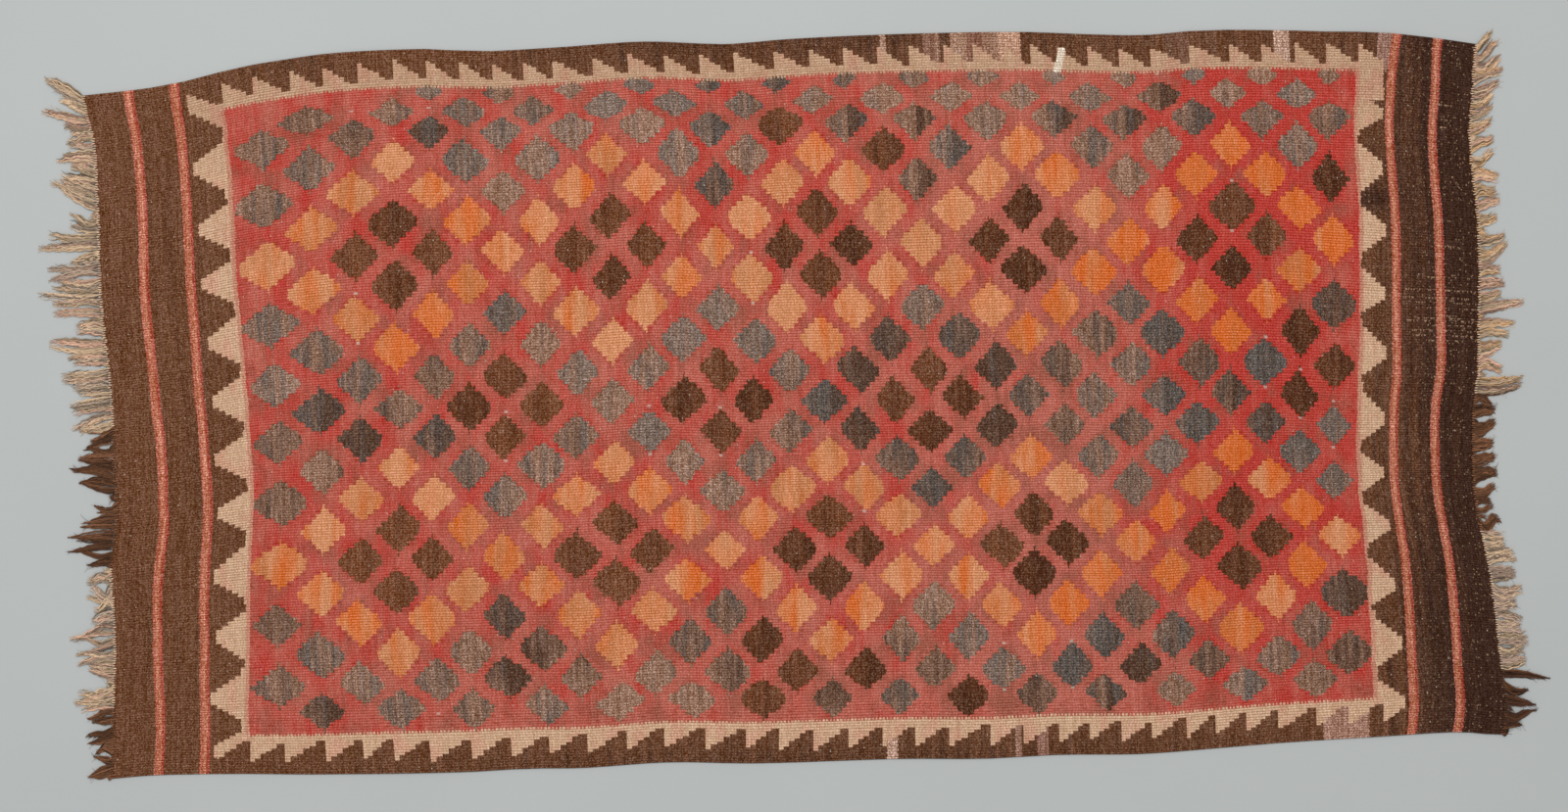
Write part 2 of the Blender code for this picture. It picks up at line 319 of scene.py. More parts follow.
@dataclass(frozen=True)
class EndTeeth:
    """One end of the pattern: bands, two thin stripes and stepped teeth. Places are mm from the woven end."""

    name: str
    side: int                       # -1 for the left end, +1 for the right one
    tips: tuple[float, ...]         # warps from the near selvedge to the tips, light and brown in turn
    outer_stripe: Run               # middle of the stripe
    inner_stripe: Run
    field: Run                      # where the red field starts
    light_tips: float               # where the light teeth's tips lie
    dark_tips: float                # where the brown teeth's tips lie
    reach: tuple[float, float]      # warps between which there are brown teeth
    lean: Run = ((0, 0),)           # how much farther from the end the whole of it lies
    pitch: float = 24.0             # warps, about, from tooth to tooth
    stripe_width: float = 14.0
    stained: float = 6.0            # of the light wool beside the field, into which the red bled
    steps: int = 5
    light_half_tip: float = 2.7     # warps
    dark_half_tip: float = 3.2      # warps
    uneven: float = 6.0             # by which a tooth lies nearer or farther than the next
    border_wander: float = 8.0      # times the noise by which the field's edge wanders

    def numbers(self, warp: np.ndarray) -> dict[str, np.ndarray]:
        """What the cloth's points carry of this end, at some warps.

        Args:
            warp: Warps from the near selvedge.

        Returns:
            How many teeth lie before a warp, whole at a brown tip and halfway to the next at a light one,
            and where the stripes lie, by their names.
        """
        tips = (self.tips[0] - self.pitch / 2, *self.tips, self.tips[-1] + self.pitch / 2)
        runs = {
            "outer": self.outer_stripe, "inner": self.inner_stripe, "lean": self.lean, "field": self.field,
        }
        numbers = {f"{self.name}_{key}": np.interp(warp, *zip(*run)) for key, run in runs.items()}
        return numbers | {self.name: np.interp(warp, tips, np.arange(len(tips)) / 2)}


@dataclass(frozen=True)
class SideTeeth:
    """One side border of saw teeth. Depths are in warps from the selvedge."""

    name: str
    edges: tuple[float, ...]        # mm along the rug, where the light teeth's upright edges lie
    field: float                    # depth at which the red field starts
    edge: float = 5.2               # depth of the brown edge
    steps: int = 5
    tooth: float = 7.3
    tip_share: float = 0.13         # of the pitch that the light tooth's flat tip takes
    comb_pitch: float = 5.2         # mm, of the two wools that take turns round the field's outermost warp
    uneven: float = 1.6             # by which a tooth reaches deeper than another

    def count(self, along: np.ndarray) -> np.ndarray:
        """How many upright edges lie before a place along the rug, in mm."""
        return np.interp(along, self.edges, np.arange(len(self.edges)))


LEFT_END = EndTeeth(
    name="left_teeth",
    side=-1,
    tips=(
        9.5, 19.1, 30.5, 42.4, 55.1, 67.1, 78.9, 93.3, 104.5, 114.1, 126.4, 136.8, 150.8, 161.1, 174.7, 186.5,
        199.8, 208.4, 222, 232, 247.5, 257.5, 273,
    ),
    outer_stripe=(
        (0, 69.7), (28, 69.3), (52, 62.9), (66, 63.4), (76, 65.4), (88, 70.2), (100, 70.7), (112, 66),
        (124, 69.2), (136, 68.1), (150, 63.1), (184, 63.5), (220, 65.7), (244, 64.9), (262, 62.5),
        (284, 65.5),
    ),
    inner_stripe=(
        (0, 134), (28, 133.8), (64, 129.8), (90, 133), (112, 129.2), (136, 128.9), (155, 126), (184, 130.1),
        (208, 131.4), (232, 130.2), (265, 126.6), (284, 128.8),
    ),
    field=((0, 198), (235, 198), (262, 193), (284, 193)),
    light_tips=145, dark_tips=189, reach=(6, 273),
)
RIGHT_END = EndTeeth(
    name="right_teeth",
    side=1,
    tips=(
        13.5, 25.5, 37, 50.7, 60.1, 76.3, 85.7, 98.5, 109.2, 120.9, 132.2, 147.7, 159.7, 173, 182.7, 195.6,
        207.4, 218.5, 230.8, 243, 251.5, 262, 271.5,
    ),
    outer_stripe=(
        (0, 54), (100, 54), (130, 56.4), (160, 53.2), (196, 57.3), (220, 58.3), (250, 55.5), (284, 56),
    ),
    inner_stripe=(
        (0, 118), (50, 116.5), (150, 116), (184, 119), (265, 119.5), (284, 113.5),
    ),
    lean=((0, 11), (28, 9), (52, 6), (76, 2.5), (100, 1), (130, 0)),
    field=((0, 172), (284, 172)),
    stripe_width=13.0, light_tips=132, dark_tips=167, reach=(3, 257),
)
FAR_SIDE = SideTeeth(
    name="far_teeth",
    edges=(
        -905, -858, -807.5, -765, -712.5, -665, -615, -564, -517, -470, -422.5, -378.5, -336.5, -279, -228.5,
        -176, -125, -75, -16.5, 35.5, 85, 135, 181.5, 232, 274.5, 319.5, 357, 395.5, 439, 484, 529.5, 586,
        646, 692, 741.5, 786.5, 833, 880,
    ),
    field=15.2,
)
NEAR_SIDE = SideTeeth(
    name="near_teeth",
    edges=(
        -905, -853, -800.5, -751, -690, -633.5, -587.5, -535, -475.5, -419.5, -367, -313, -257, -204, -146,
        -88.5, -41, 9.5, 61, 111, 158.5, 208, 268, 316, 370, 412, 458.5, 502.5, 553, 594.5, 640, 686, 741.5,
        784, 831, 878,
    ),
    field=15.4,
)


class Pull(NamedTuple):
    """A place where the weaving ran a little out of true. It is given in mm by its middle, how far it reaches
    along and across the rug, and how far it moved the weave along and across."""

    x: float
    y: float
    reach_x: float
    reach_y: float
    along: float
    across: float


PULLS = (
    Pull(-180, 260, 400, 200, 7.8, 5.6), Pull(60, -260, 400, 200, 6.3, 8.1),
    Pull(-500, -220, 240, 240, -7.2, 5.8), Pull(140, 20, 240, 140, 4.2, -4.5),
    Pull(900, 20, 240, 240, -2.1, -7.6), Pull(-820, -20, 240, 240, 6.3, 3.7),
    Pull(540, 380, 240, 240, 5.8, 2.5), Pull(660, -220, 240, 140, -3.8, 5.4),
    Pull(-540, 300, 240, 140, 0.5, 5.1), Pull(940, 60, 240, 240, -1.3, -7.3),
    Pull(-500, -340, 160, 180, -6.4, 1.2), Pull(-780, -140, 110, 180, 5.0, 2.9),
    Pull(-140, 60, 240, 240, 5.0, 1.7), Pull(-140, 460, 400, 200, 4.8, 3.6),
    Pull(740, -60, 240, 140, -4.7, -5.0), Pull(180, -100, 160, 180, 5.7, -2.0),
    Pull(900, 180, 110, 180, -0.9, -5.8), Pull(-460, 140, 110, 180, -0.8, 3.5),
    Pull(-60, -340, 110, 180, 4.7, 1.9), Pull(-820, -140, 110, 180, 5.2, 1.7),
    Pull(140, 180, 110, 110, -1.7, -3.3), Pull(-580, -340, 160, 180, -5.2, 1.7),
    Pull(460, 300, 160, 110, 1.8, 4.1), Pull(-580, 220, 110, 110, -4.0, 0.1),
)


class Zone(NamedTuple):
    """A soft patch of the cloth where the dye differs: its middle and reach in mm, and how strongly."""

    x: float
    y: float
    reach_x: float
    reach_y: float
    amount: float


@dataclass(frozen=True)
class DyeLot:
    """How a dye drifts over the rug: from one amount to another along X, and by zones."""

    name: str
    at_left: float
    at_right: float
    zones: tuple[Zone, ...] = ()

    def amount(self, x: np.ndarray, y: np.ndarray) -> np.ndarray:
        """Work out how strongly the dye took.

        Args:
            x: Places along the rug, in mm.
            y: Places across it, in mm.

        Returns:
            The amounts, from 0 to 1.
        """
        share = np.clip(x / 2000 + 0.5, 0, 1)
        amount = self.at_left + (self.at_right - self.at_left) * share
        for zone in self.zones:
            away = ((x - zone.x) / zone.reach_x) ** 2 + ((y - zone.y) / zone.reach_y) ** 2
            amount = amount + zone.amount * np.exp(-away)
        return np.clip(amount, 0, 1)


# Madder that held its colour against madder that faded to rose.
FRESH_RED = DyeLot("fresh_red", 0.42, 0.42, (
    Zone(760, 380, 130, 130, 0.3),
    Zone(-800, 60, 250, 600, 0.12), Zone(-65, 330, 160, 120, 0.2), Zone(370, 0, 130, 700, -0.4),
    Zone(640, 80, 140, 600, 0.5), Zone(800, 0, 110, 600, 0.2), Zone(60, -430, 500, 60, -0.2),
))
# Undyed brown wool, from a lighter to a nearly black fleece.
DARK_FLEECE = DyeLot("dark_fleece", 0.12, 0.2, (
    Zone(0, 530, 700, 45, 0.35), Zone(0, -530, 700, 45, 0.3), Zone(1000, 0, 112, 2000, 0.95),
    Zone(-520, 530, 130, 60, -0.3), Zone(-690, 540, 70, 60, 0.15), Zone(845, 264, 30, 17, 0.7),
    Zone(842, 190, 30, 20, -0.2),
))
# The grey diamonds' wool, from taupe to a slate that is nearly brown.
SLATE = DyeLot("slate", 0.38, 0.42, (
    Zone(190, 0, 170, 120, 0.42), Zone(790, 110, 130, 260, 0.4), Zone(90, -410, 190, 70, 0.5),
    Zone(640, -410, 160, 60, 0.25), Zone(-517, 395, 60, 60, 0.35), Zone(-416, -340, 70, 60, 0.35),
    Zone(-616, -60, 60, 60, 0.35), Zone(0, 420, 60, 60, 0.35), Zone(-290, 380, 180, 110, -0.3),
    Zone(250, 380, 360, 120, -0.33), Zone(740, 420, 120, 60, -0.2), Zone(-300, 20, 150, 120, -0.25),
    Zone(-290, -430, 140, 60, -0.3),
))
# The brown diamonds' wool, from a lighter to a darker fleece.
WALNUT = DyeLot("walnut", 0.3, 0.75, (Zone(-760, 0, 80, 900, -0.25), Zone(-620, -330, 120, 90, -0.1)))
# How far the greys lean to blue.
INDIGO = DyeLot("indigo", 0.22, 0.3, (
    Zone(-260, 400, 260, 90, 0.4), Zone(650, -50, 250, 130, 0.4), Zone(520, -330, 160, 90, 0.3),
    Zone(-100, 60, 270, 140, 0.45),
))
# Orange that kept its strength.
BRIGHT_ORANGE = DyeLot("bright_orange", 0.42, 0.38, (
    Zone(620, 60, 230, 600, 0.55), Zone(20, 300, 320, 200, -0.25), Zone(-760, 130, 120, 120, 0.15),
))
# Where the dark band's wefts have worn down to the light warps.
WORN = DyeLot("worn", 0.0, 0.0, (
    Zone(950, 110, 80, 120, 0.75), Zone(950, -210, 70, 40, 0.5), Zone(955, 380, 60, 60, 0.5),
    Zone(-940, 400, 60, 120, 0.25), Zone(-930, -40, 60, 60, 0.25),
))
DYE_LOTS = (FRESH_RED, DARK_FLEECE, SLATE, WALNUT, INDIGO, BRIGHT_ORANGE, WORN)


class Repair(NamedTuple):
    """A stretch of a side border that was rewoven in another wool, in mm along the rug."""

    start: float
    end: float
    colour: str
    strength: float


FAR_REPAIRS = (
    Repair(134, 146, "b8907a", 0.8), Repair(202, 214, "8e6452", 0.8), Repair(214, 226, "a67d69", 0.8),
    Repair(236, 258, "b28a73", 0.85), Repair(258, 282, "8c5e4b", 0.8), Repair(282, 306, "a27861", 0.8),
    Repair(306, 342, "c4957b", 0.9), Repair(550, 580, "7d5746", 0.6), Repair(606, 624, "7a5543", 0.5),
    Repair(705, 732, "c29c87", 0.9), Repair(856, 880, "a2796a", 0.85),
)
NEAR_REPAIRS = (
    Repair(114, 130, "c49c88", 0.9), Repair(298, 308, "a87e6b", 0.8), Repair(332, 350, "9c7060", 0.75),
    Repair(750, 806, "b08371", 0.85),
)


@dataclass(frozen=True)
class WovenWool(MattWool):
    """Vegetable-dyed wool, packed weft over warp. Each float catches the light a little differently, and the
    creases between ribs hold shadow; that light and shade is painted into the colour. The relief is that of
    the beads of light along the ribs."""

    weave: Weave = Weave()
    lattice: Lattice = Lattice()
    red_strong: str = "bf4138"
    red_faded: str = "c06a5a"
    red_soiled: str = "985846"
    orange: str = "d96b2d"
    apricot: str = "da9469"
    orange_dull: str = "b9784d"
    tan: str = "d2ab8b"
    pink_tan: str = "d0957d"
    brown_light: str = "70462d"
    brown_dark: str = "3f261b"
    walnut: str = "4e2a18"
    walnut_light: str = "7c4a2e"
    taupe: str = "99725d"
    slate: str = "563a2c"
    blue_grey: str = "606361"
    stripe_core: str = "c67a5b"
    stripe_rose: str = "b8644e"
    stripe_red: str = "ad4c3d"
    hair: str = "a98c6c"
    speck: str = "d9cdbf"
    cream: str = "e0d2bd"
    darn_at: float = 407.7          # mm along the rug, of a darn in the far border
    darn_half_width: float = 5.0    # mm
    darn_lean: float = 0.86         # mm along the rug for each warp of depth
    darn_depths: tuple[float, float] = (5.5, 16.0)      # warps from the selvedge
    heather: tuple[float, float] = (0.8, 1.3)       # doublings of shade from hair to hair, and more if undyed
    streaks: tuple[float, float] = (0.25, 0.5)      # doublings of shade from weft to weft, and more if undyed
    # painted shade in the creases and slits, and painted light on the ribs' crowns and beads
    crease_shade: float = 0.63
    crown_light: float = 0.75       # by which a rib's crown is lighter than the crease
    bead_share: float = 0.55        # of that light which goes between two beads
    slit_shade: float = 0.3
    worn_through: float = 0.42      # wear at which the warps show

    def dress(self, cloth: bpy.types.Object) -> None:
        """Give the cloth this finish."""
        nodes = Nodes("woven_wool_dyed")
        place = nodes.add("ShaderNodeUVMap", output="UV", uv_map=WOVEN_MAP)
        split = nodes.add("ShaderNodeSeparateXYZ", (place,))
        along = (split - 0.5) * (2 * self.weave.half_length)
        across = split.also(1) * self.weave.warps
        drawing = Drawing(self, nodes, along, across)
        self.cover(cloth, nodes, drawing.colour(), drawing.relief())


class Drawing:
    """The rug's whole pattern, worked out as signals from the woven coordinates."""

    def __init__(self, wool: WovenWool, nodes: Nodes, along: Signal, across: Signal) -> None:
        """Work out where each point lies in the weave.

        Args:
            wool: The finish, with its colours.
            nodes: The material's nodes.
            along: mm along the warps from the rug's middle.
            across: Warps from the near selvedge.
        """
        self.wool = wool
        self.nodes = nodes
        self.along = along
        self.across = across
        self.warp = math.floor(across)
        self.within = across - self.warp
        length = wool.weave.float_length
        stagger = (self.warp % 2) * 0.5
        self.pick = math.floor(along / length + stagger)
        self.x = (self.pick + 0.5 - stagger) * length
        self.rib = self.warp + 0.5
        self.grain = self.chance_of(math.floor(across * 3), math.floor(along / wool.weave.hair_length))
        sway = self.noise(40.0, 6.0, 1.0, 1.0) * 3.0 + self.chance_of(self.warp, 3.0) * 0.5
        self.bead = along / wool.weave.bead_length + sway
        self._lattice()

    def chance_of(self, one: Signal, other: Signal | float) -> Signal:
        """A random number from 0 to 1 for each pair of whole numbers."""
        place = self.nodes.add("ShaderNodeCombineXYZ", (one, other, 0.0))
        return self.nodes.add("ShaderNodeTexWhiteNoise", {"Vector": place}, noise_dimensions="2D")

    def stray(self, one: Signal, other: Signal | float, amount: Signal | float) -> Signal:
        """A random number for each pair of whole numbers, up to half the amount either way."""
        return (self.chance_of(one, other) - 0.5) * amount

    def _lattice(self) -> None:
        """Find the diamond that each point belongs to, and whether it is inside."""
        lattice = self.wool.lattice
        before = (lattice.even_column_at - self.x).most(0.0)
        after = (self.x - lattice.even_column_at).most(0.0) / lattice.column_width
        root = (before * (2 * lattice.widening) + lattice.column_width ** 2) ** 0.5
        a = after + lattice.even_column - (root - lattice.column_width) / lattice.widening
        across, rib = (self.pressed(warp) for warp in (self.across, self.rib))
        b = (rib - lattice.middle) / lattice.row_height
        # Diamonds lie where column and row add up to an odd number, so their sum p and difference q are odd.
        p = math.floor((a + b) * 0.5) * 2 + 1
        q = math.floor((a - b) * 0.5) * 2 + 1
        self.column = (p + q) * 0.5
        self.row = (p - q) * 0.5
        chance = self.chance_of(self.column, self.row).also("Color")
        self.chance = self.nodes.add("ShaderNodeSeparateXYZ", (chance,))
        stray = (self.chance - 0.5) * lattice.wander
        self.off_column = abs(a - self.column + stray)
        middle = self.row * lattice.row_height + lattice.middle
        self.off_row = abs(across - middle)
        quarter = self.column * 4 + (a > (self.column - stray)) * 2 + (rib > middle)
        slip = self.stray(quarter, self.row, lattice.slipped)
        steep = ((abs(across - middle) + slip) * (1 / lattice.step_rise)).most(0.0)
        level = math.floor((abs(rib - middle) + slip) * (1 / lattice.step_rise)).most(0.0)
        self.beyond = a > self.column
        turn = self.stray(self.warp, self.column, lattice.ragged)
        turn += self.stray(quarter, self.row * 8 + level, lattice.uneven_step)
        slant = (steep - level - 0.4) * lattice.slant
        width = lattice.half_width - level * lattice.step - level.least(1.0) * lattice.first_step - slant
        self.half_width = width + (self.chance.also(1) - 0.5) * lattice.uneven * (level < 2.5) + turn
        self.half_width = self.half_width - (self.row > lattice.last_row + 0.5) * lattice.cramped
        drawn = (self.column > -0.5) * (self.column < lattice.last_column + 0.5)
        far_rows = (self.row < lattice.last_row + 0.5).most(self.column > lattice.one_more_from - 0.5)
        drawn *= (self.row > -0.5 - lattice.last_row) * far_rows
        self.in_diamond = (self.off_column < self.half_width) * drawn

    def pressed(self, warp: Signal) -> Signal:
        """Where a warp would lie if the outermost rows weren't pressed together."""
        lattice = self.wool.lattice
        near = (warp - lattice.pressed_from[0]).least(0.0) * lattice.pressed[0]
        far = (warp - lattice.pressed_from[1]).most(0.0) * lattice.pressed[1]
        return warp + near + far

    def among(self, places: tuple[tuple[int, int], ...]) -> Signal:
        """Where the diamond is one of these, which are given by column and row."""
        number = self.wool.lattice.number(self.column, self.row)
        found = abs(number - self.wool.lattice.number(*places[0])) < 0.5
        for place in places[1:]:
            found = found.most(abs(number - self.wool.lattice.number(*place)) < 0.5)
        return found

    def slits(self) -> Signal:
        """The slits along a diamond's steps, where two wools turn back round neighbouring warps; their shadow
        is painted.
        """
        lattice = self.wool.lattice
        first, last = lattice.slits
        inner, outer = self.half_width - lattice.slit[0], self.half_width + lattice.slit[1]
        beside = (self.off_column > inner) * (self.off_column < outer)
        turn = (self.off_row % lattice.step_rise) < 0.5
        return turn * (self.off_row > first) * (self.off_row < last) * beside

    def noise(self, along: float, across: float, seed: Signal | float = 0.0, detail: float = 2.0) -> Signal:
        """Uneven dye or spinning that changes over some mm along the rug and some warps across it.

        Args:
            along: mm over which it changes.
            across: Warps over which it changes.
            seed: A number that gives another piece of wool another noise.
            detail: How much finer change is in it.

        Returns:
            About 0 to 1, and mostly near 0.5.
        """
        place = (self.x * (1 / along), self.across * (1 / across), seed)
        vector = self.nodes.add("ShaderNodeCombineXYZ", place)
        links = {"Vector": vector, "Scale": 1.0, "Detail": detail}
        return self.nodes.add("ShaderNodeTexNoise", links, noise_dimensions="3D")

    def drift(self, along: float, across: float, seed: Signal | float, amount: float) -> Signal:
        """The same noise, about 0, and some 0.12 times the amount either way."""
        return (self.noise(along, across, seed) - 0.5) * amount

    def read(self, name: str) -> Signal:
        """A number that the cloth's own points carry."""
        return self.nodes.add("ShaderNodeAttribute", output="Fac", attribute_name=name)

    def relief(self) -> Signal:
        """The height of the beads along the ribs: each is an oval over its warp."""
        crown = 1 - abs((self.bead % 1.0) * 2 - 1) ** 2
        return crown * (1 - abs(self.within * 2 - 1) ** 2)

    def red(self) -> Signal:
        """The field's madder red, in bands of one day's dye after another."""
        wool = self.wool
        fresh = self.read(FRESH_RED.name)
        strong = fresh + self.drift(38.0, 20.0, 3.0, 1.9) + self.drift(6.0, 22.0, 7.0, 0.7)
        soiled = self.drift(45.0, 13.0, 9.0, 2.6) + self.drift(6.0, 15.0, 10.0, 1.2) + 0.36 - fresh * 0.3
        return self.nodes.laid(wool.red_faded, [
            (strong.rise(), wool.red_strong),
            (soiled.rise() * 0.75, wool.red_soiled),
        ])

    def brown(self) -> Signal:
        """Undyed brown wool, whose fleece changes from hank to hank."""
        wool = self.wool
        hanks = self.drift(12.0, 90.0, 11.0, 1.1) + self.drift(5.0, 5.0, 13.0, 0.6)
        dark = (self.read(DARK_FLEECE.name) + hanks).rise()
        return self.nodes.laid(wool.brown_light, [(dark, wool.brown_dark)])

    def light(self) -> Signal:
        """The undyed light wool of the teeth, rosy where the red bled into it, and soiled at the far side."""
        wool = self.wool
        rosy = self.noise(22.0, 16.0, 17.0).rise(0.45, 0.68)
        soiled = self.rib.rise(235.0, 270.0) * 0.2
        return self.nodes.laid(wool.tan, [
            (rosy * 0.55, wool.pink_tan),
            (soiled, wool.brown_light),
        ])

    def diamonds(self) -> tuple[Signal, Signal]:
        """The diamonds' wools: brown clusters ringed with orange, and greys between.

        Returns:
            Their colour, and where it is orange.
        """
        wool = self.wool
        seed = self.column * 7.31 + self.row * 3.77
        hanks = self.drift(26.0, 45.0, seed, 1.0)
        streaks = self.drift(7.0, 22.0, seed + 40.0, 1.0)
        lattice = wool.lattice
        high_row, half = abs(self.row), lattice.repeat / 2
        outer = abs((self.column % lattice.repeat) - half) + abs(high_row - lattice.outer_row)
        inner = abs(((self.column + half) % lattice.repeat) - half) + high_row
        clustered = (self.column > lattice.clustered[0]) * (self.column < lattice.clustered[1])
        brown = (outer < 1.5).most((inner < 1.5) * clustered)
        orange = (outer > 2.5) * (outer < 3.5)
        brown = brown.most(self.among(lattice.odd_browns))
        mended = self.beyond * (self.chance > lattice.unmended)
        chance = self.chance - 0.5
        other = self.chance.also(2) - 0.5
        slate = self.read(SLATE.name) + chance * 0.55 + hanks * 0.9 + streaks * 1.1
        slate += self.among(lattice.odd_slates) * 0.5 + mended * 0.5
        blue = self.read(INDIGO.name) + other * 0.8 + hanks * 1.6 + streaks * 1.6
        grey = self.nodes.laid(wool.taupe, [
            (slate.rise(), wool.slate),
            (blue.rise() * 0.5, wool.blue_grey),
        ])
        bright = self.read(BRIGHT_ORANGE.name) + chance * 0.35 + hanks * 2.2 + streaks * 0.7
        dull = other * 0.5 + self.drift(20.0, 30.0, seed + 80.0, 1.8) + 0.3
        warm = self.nodes.laid(wool.apricot, [
            (bright.rise(), wool.orange),
            (dull.rise() * 0.7, wool.orange_dull),
        ])
        fleece = self.read(WALNUT.name) + chance * 0.35 + hanks * 0.9 + streaks * 0.9
        deep_brown = self.nodes.laid(wool.walnut_light, [(fleece.rise(), wool.walnut)])
        return self.nodes.laid(grey, [(orange, warm), (brown, deep_brown)]), orange

    def stripe(self, off: Signal, width: float) -> tuple[Signal, Signal]:
        """One thin stripe of an end band: an orange core between rose and red.

        Args:
            off: mm from the stripe's middle towards +X.
            width: Its width.

        Returns:
            Its mask and its colour.
        """
        wool = self.wool
        mixed = self.noise(8.0, 9.0, 29.0) * 3.0
        soiled = self.read(DARK_FLEECE.name) * 0.13
        colour = self.nodes.laid(wool.stripe_core, [
            ((off * -1.0 + mixed).rise(2.5, 6.0), wool.stripe_rose),
            ((off + mixed).rise(2.0, 6.0), wool.stripe_red),
            (soiled, wool.brown_dark),
        ])
        return (abs(off) < width / 2), colour

    def end(self, teeth: EndTeeth) -> dict[str, Signal | tuple]:
        """One end of the rug.

        Args:
            teeth: The end's sizes.

        Returns:
            The masks of its brown wool, of all that lies outside the field, and of all that lies inside the
            line to which the red bled, and its stripes.
        """
        place = self.x * -teeth.side + self.wool.weave.half_length - self.read(f"{teeth.name}_lean")
        step_length = (teeth.dark_tips - teeth.light_tips) / teeth.steps
        uneven = self.stray(math.floor(self.read(teeth.name)), 0.0, teeth.uneven)
        step = math.floor((place + uneven - teeth.light_tips) / step_length).most(0.0)
        widest = teeth.pitch / 2 - teeth.light_half_tip
        narrowing = (widest - teeth.dark_half_tip) / (teeth.steps - 1)
        off_tip = abs(((self.read(teeth.name) + 1.0) % 1.0) - 0.5)
        in_tooth = ((0.5 - off_tip) * teeth.pitch) < (widest - step * narrowing)
        within = (self.rib > teeth.reach[0]) * (self.rib < teeth.reach[1])
        tooth = in_tooth * ((place + uneven) < teeth.dark_tips) * within
        border = self.read(f"{teeth.name}_field") + self.drift(400.0, 16.0, 31.0, teeth.border_wander)
        found = {
            "dark": ((place + uneven) < teeth.light_tips).most(tooth),
            "inside": place < border,
            "stained": place > (border - teeth.stained),
        }
        for stripe in ("outer", "inner"):
            off = (self.read(f"{teeth.name}_{stripe}") - place) * teeth.side
            found[stripe] = self.stripe(off, teeth.stripe_width)
        return found

    def side(self, teeth: SideTeeth, depth: Signal) -> dict[str, Signal]:
        """One side border.

        Args:
            teeth: The border's sizes.
            depth: Warps from its selvedge.

        Returns:
            The masks of its brown wool and of all that lies outside the field.
        """
        count = self.read(teeth.name)
        phase = count % 1.0
        uneven = self.stray(math.floor(count), 0.0, teeth.uneven)
        stairs = (phase - teeth.tip_share) * ((teeth.steps + 0.5) / (1 - teeth.tip_share))
        height = (math.floor(stairs) + 1).most(0.0).least(float(teeth.steps)) * (teeth.tooth / teeth.steps)
        comb = ((self.x / teeth.comb_pitch) % 1.0) > 0.5
        return {
            "dark": depth < (height + teeth.edge + uneven),
            "inside": depth < (comb + teeth.field),
        }

    def repairs(self, stretches: tuple[Repair, ...]) -> Signal:
        """The rewoven stretches of a side border, as colours along the rug whose alpha is their strength."""
        span = 2 * self.wool.weave.half_length
        ramp = self.nodes.add("ShaderNodeValToRGB", (self.x / span + 0.5,))
        stops = ramp.socket.node.color_ramp
        stops.interpolation = "CONSTANT"
        stops.elements.remove(stops.elements[1])
        stops.elements[0].color = (0.0, 0.0, 0.0, 0.0)
        for stretch in stretches:
            start = stops.elements.new(stretch.start / span + 0.5)
            start.color = (*linear(stretch.colour)[:3], stretch.strength)
            end = stops.elements.new(stretch.end / span + 0.5)
            end.color = (0.0, 0.0, 0.0, 0.0)
        return ramp

    def colour(self) -> Signal:
        """The whole pattern's colour."""
        wool = self.wool
        warps = float(wool.weave.warps)
        left, right = self.end(LEFT_END), self.end(RIGHT_END)
        near = self.side(NEAR_SIDE, self.rib)
        far = self.side(FAR_SIDE, warps - self.rib)
        is_end = left["inside"].most(right["inside"])
        outside = is_end.most(near["inside"]).most(far["inside"])
        dark = left["dark"].most(right["dark"]).most(near["dark"]).most(far["dark"])

        brown = self.brown()
        for stretches, border in ((FAR_REPAIRS, far), (NEAR_REPAIRS, near)):
            repair = self.repairs(stretches)
            brown = self.nodes.laid(brown, [(repair.also("Alpha") * border["inside"], repair)])
        diamonds, orange = self.diamonds()
        stained = left["stained"] * right["stained"] * (1 - near["inside"].most(far["inside"])) * is_end
        depth = warps - self.rib
        darn = abs(self.x + depth * wool.darn_lean - wool.darn_at) < wool.darn_half_width
        darn = darn * (depth > wool.darn_depths[0]) * (depth < wool.darn_depths[1])
        colour = self.nodes.laid(self.red(), [
            (self.in_diamond, diamonds),
            (outside, self.light()),
            (stained * 0.5, wool.red_faded),
            (dark, brown),
            (darn * 0.85, wool.cream),
            left["outer"], left["inner"], right["outer"], right["inner"],
        ])
        undyed = dark.most(self.in_diamond * (1 - orange) * (1 - outside))
        return self.worn(colour, undyed, outside)

    def worn(self, colour: Signal, undyed: Signal, outside: Signal) -> Signal:
        """The weave's own light and shade, painted into the pattern's colour, and its stray fibres and worn
        places.

        Args:
            colour: The pattern.
            undyed: Where the wool is brown or grey, whose hairs are of many shades.
            outside: Where the pattern is a border's.

        Returns:
            The cloth's colour.
        """
        wool = self.wool
        heather = wool.heather[0] + undyed * wool.heather[1]
        pick = math.floor(self.along / wool.weave.float_length)
        across = math.floor(self.across / wool.weave.weft_span)
        streak = self.stray(pick, across, wool.streaks[0] + undyed * wool.streaks[1])
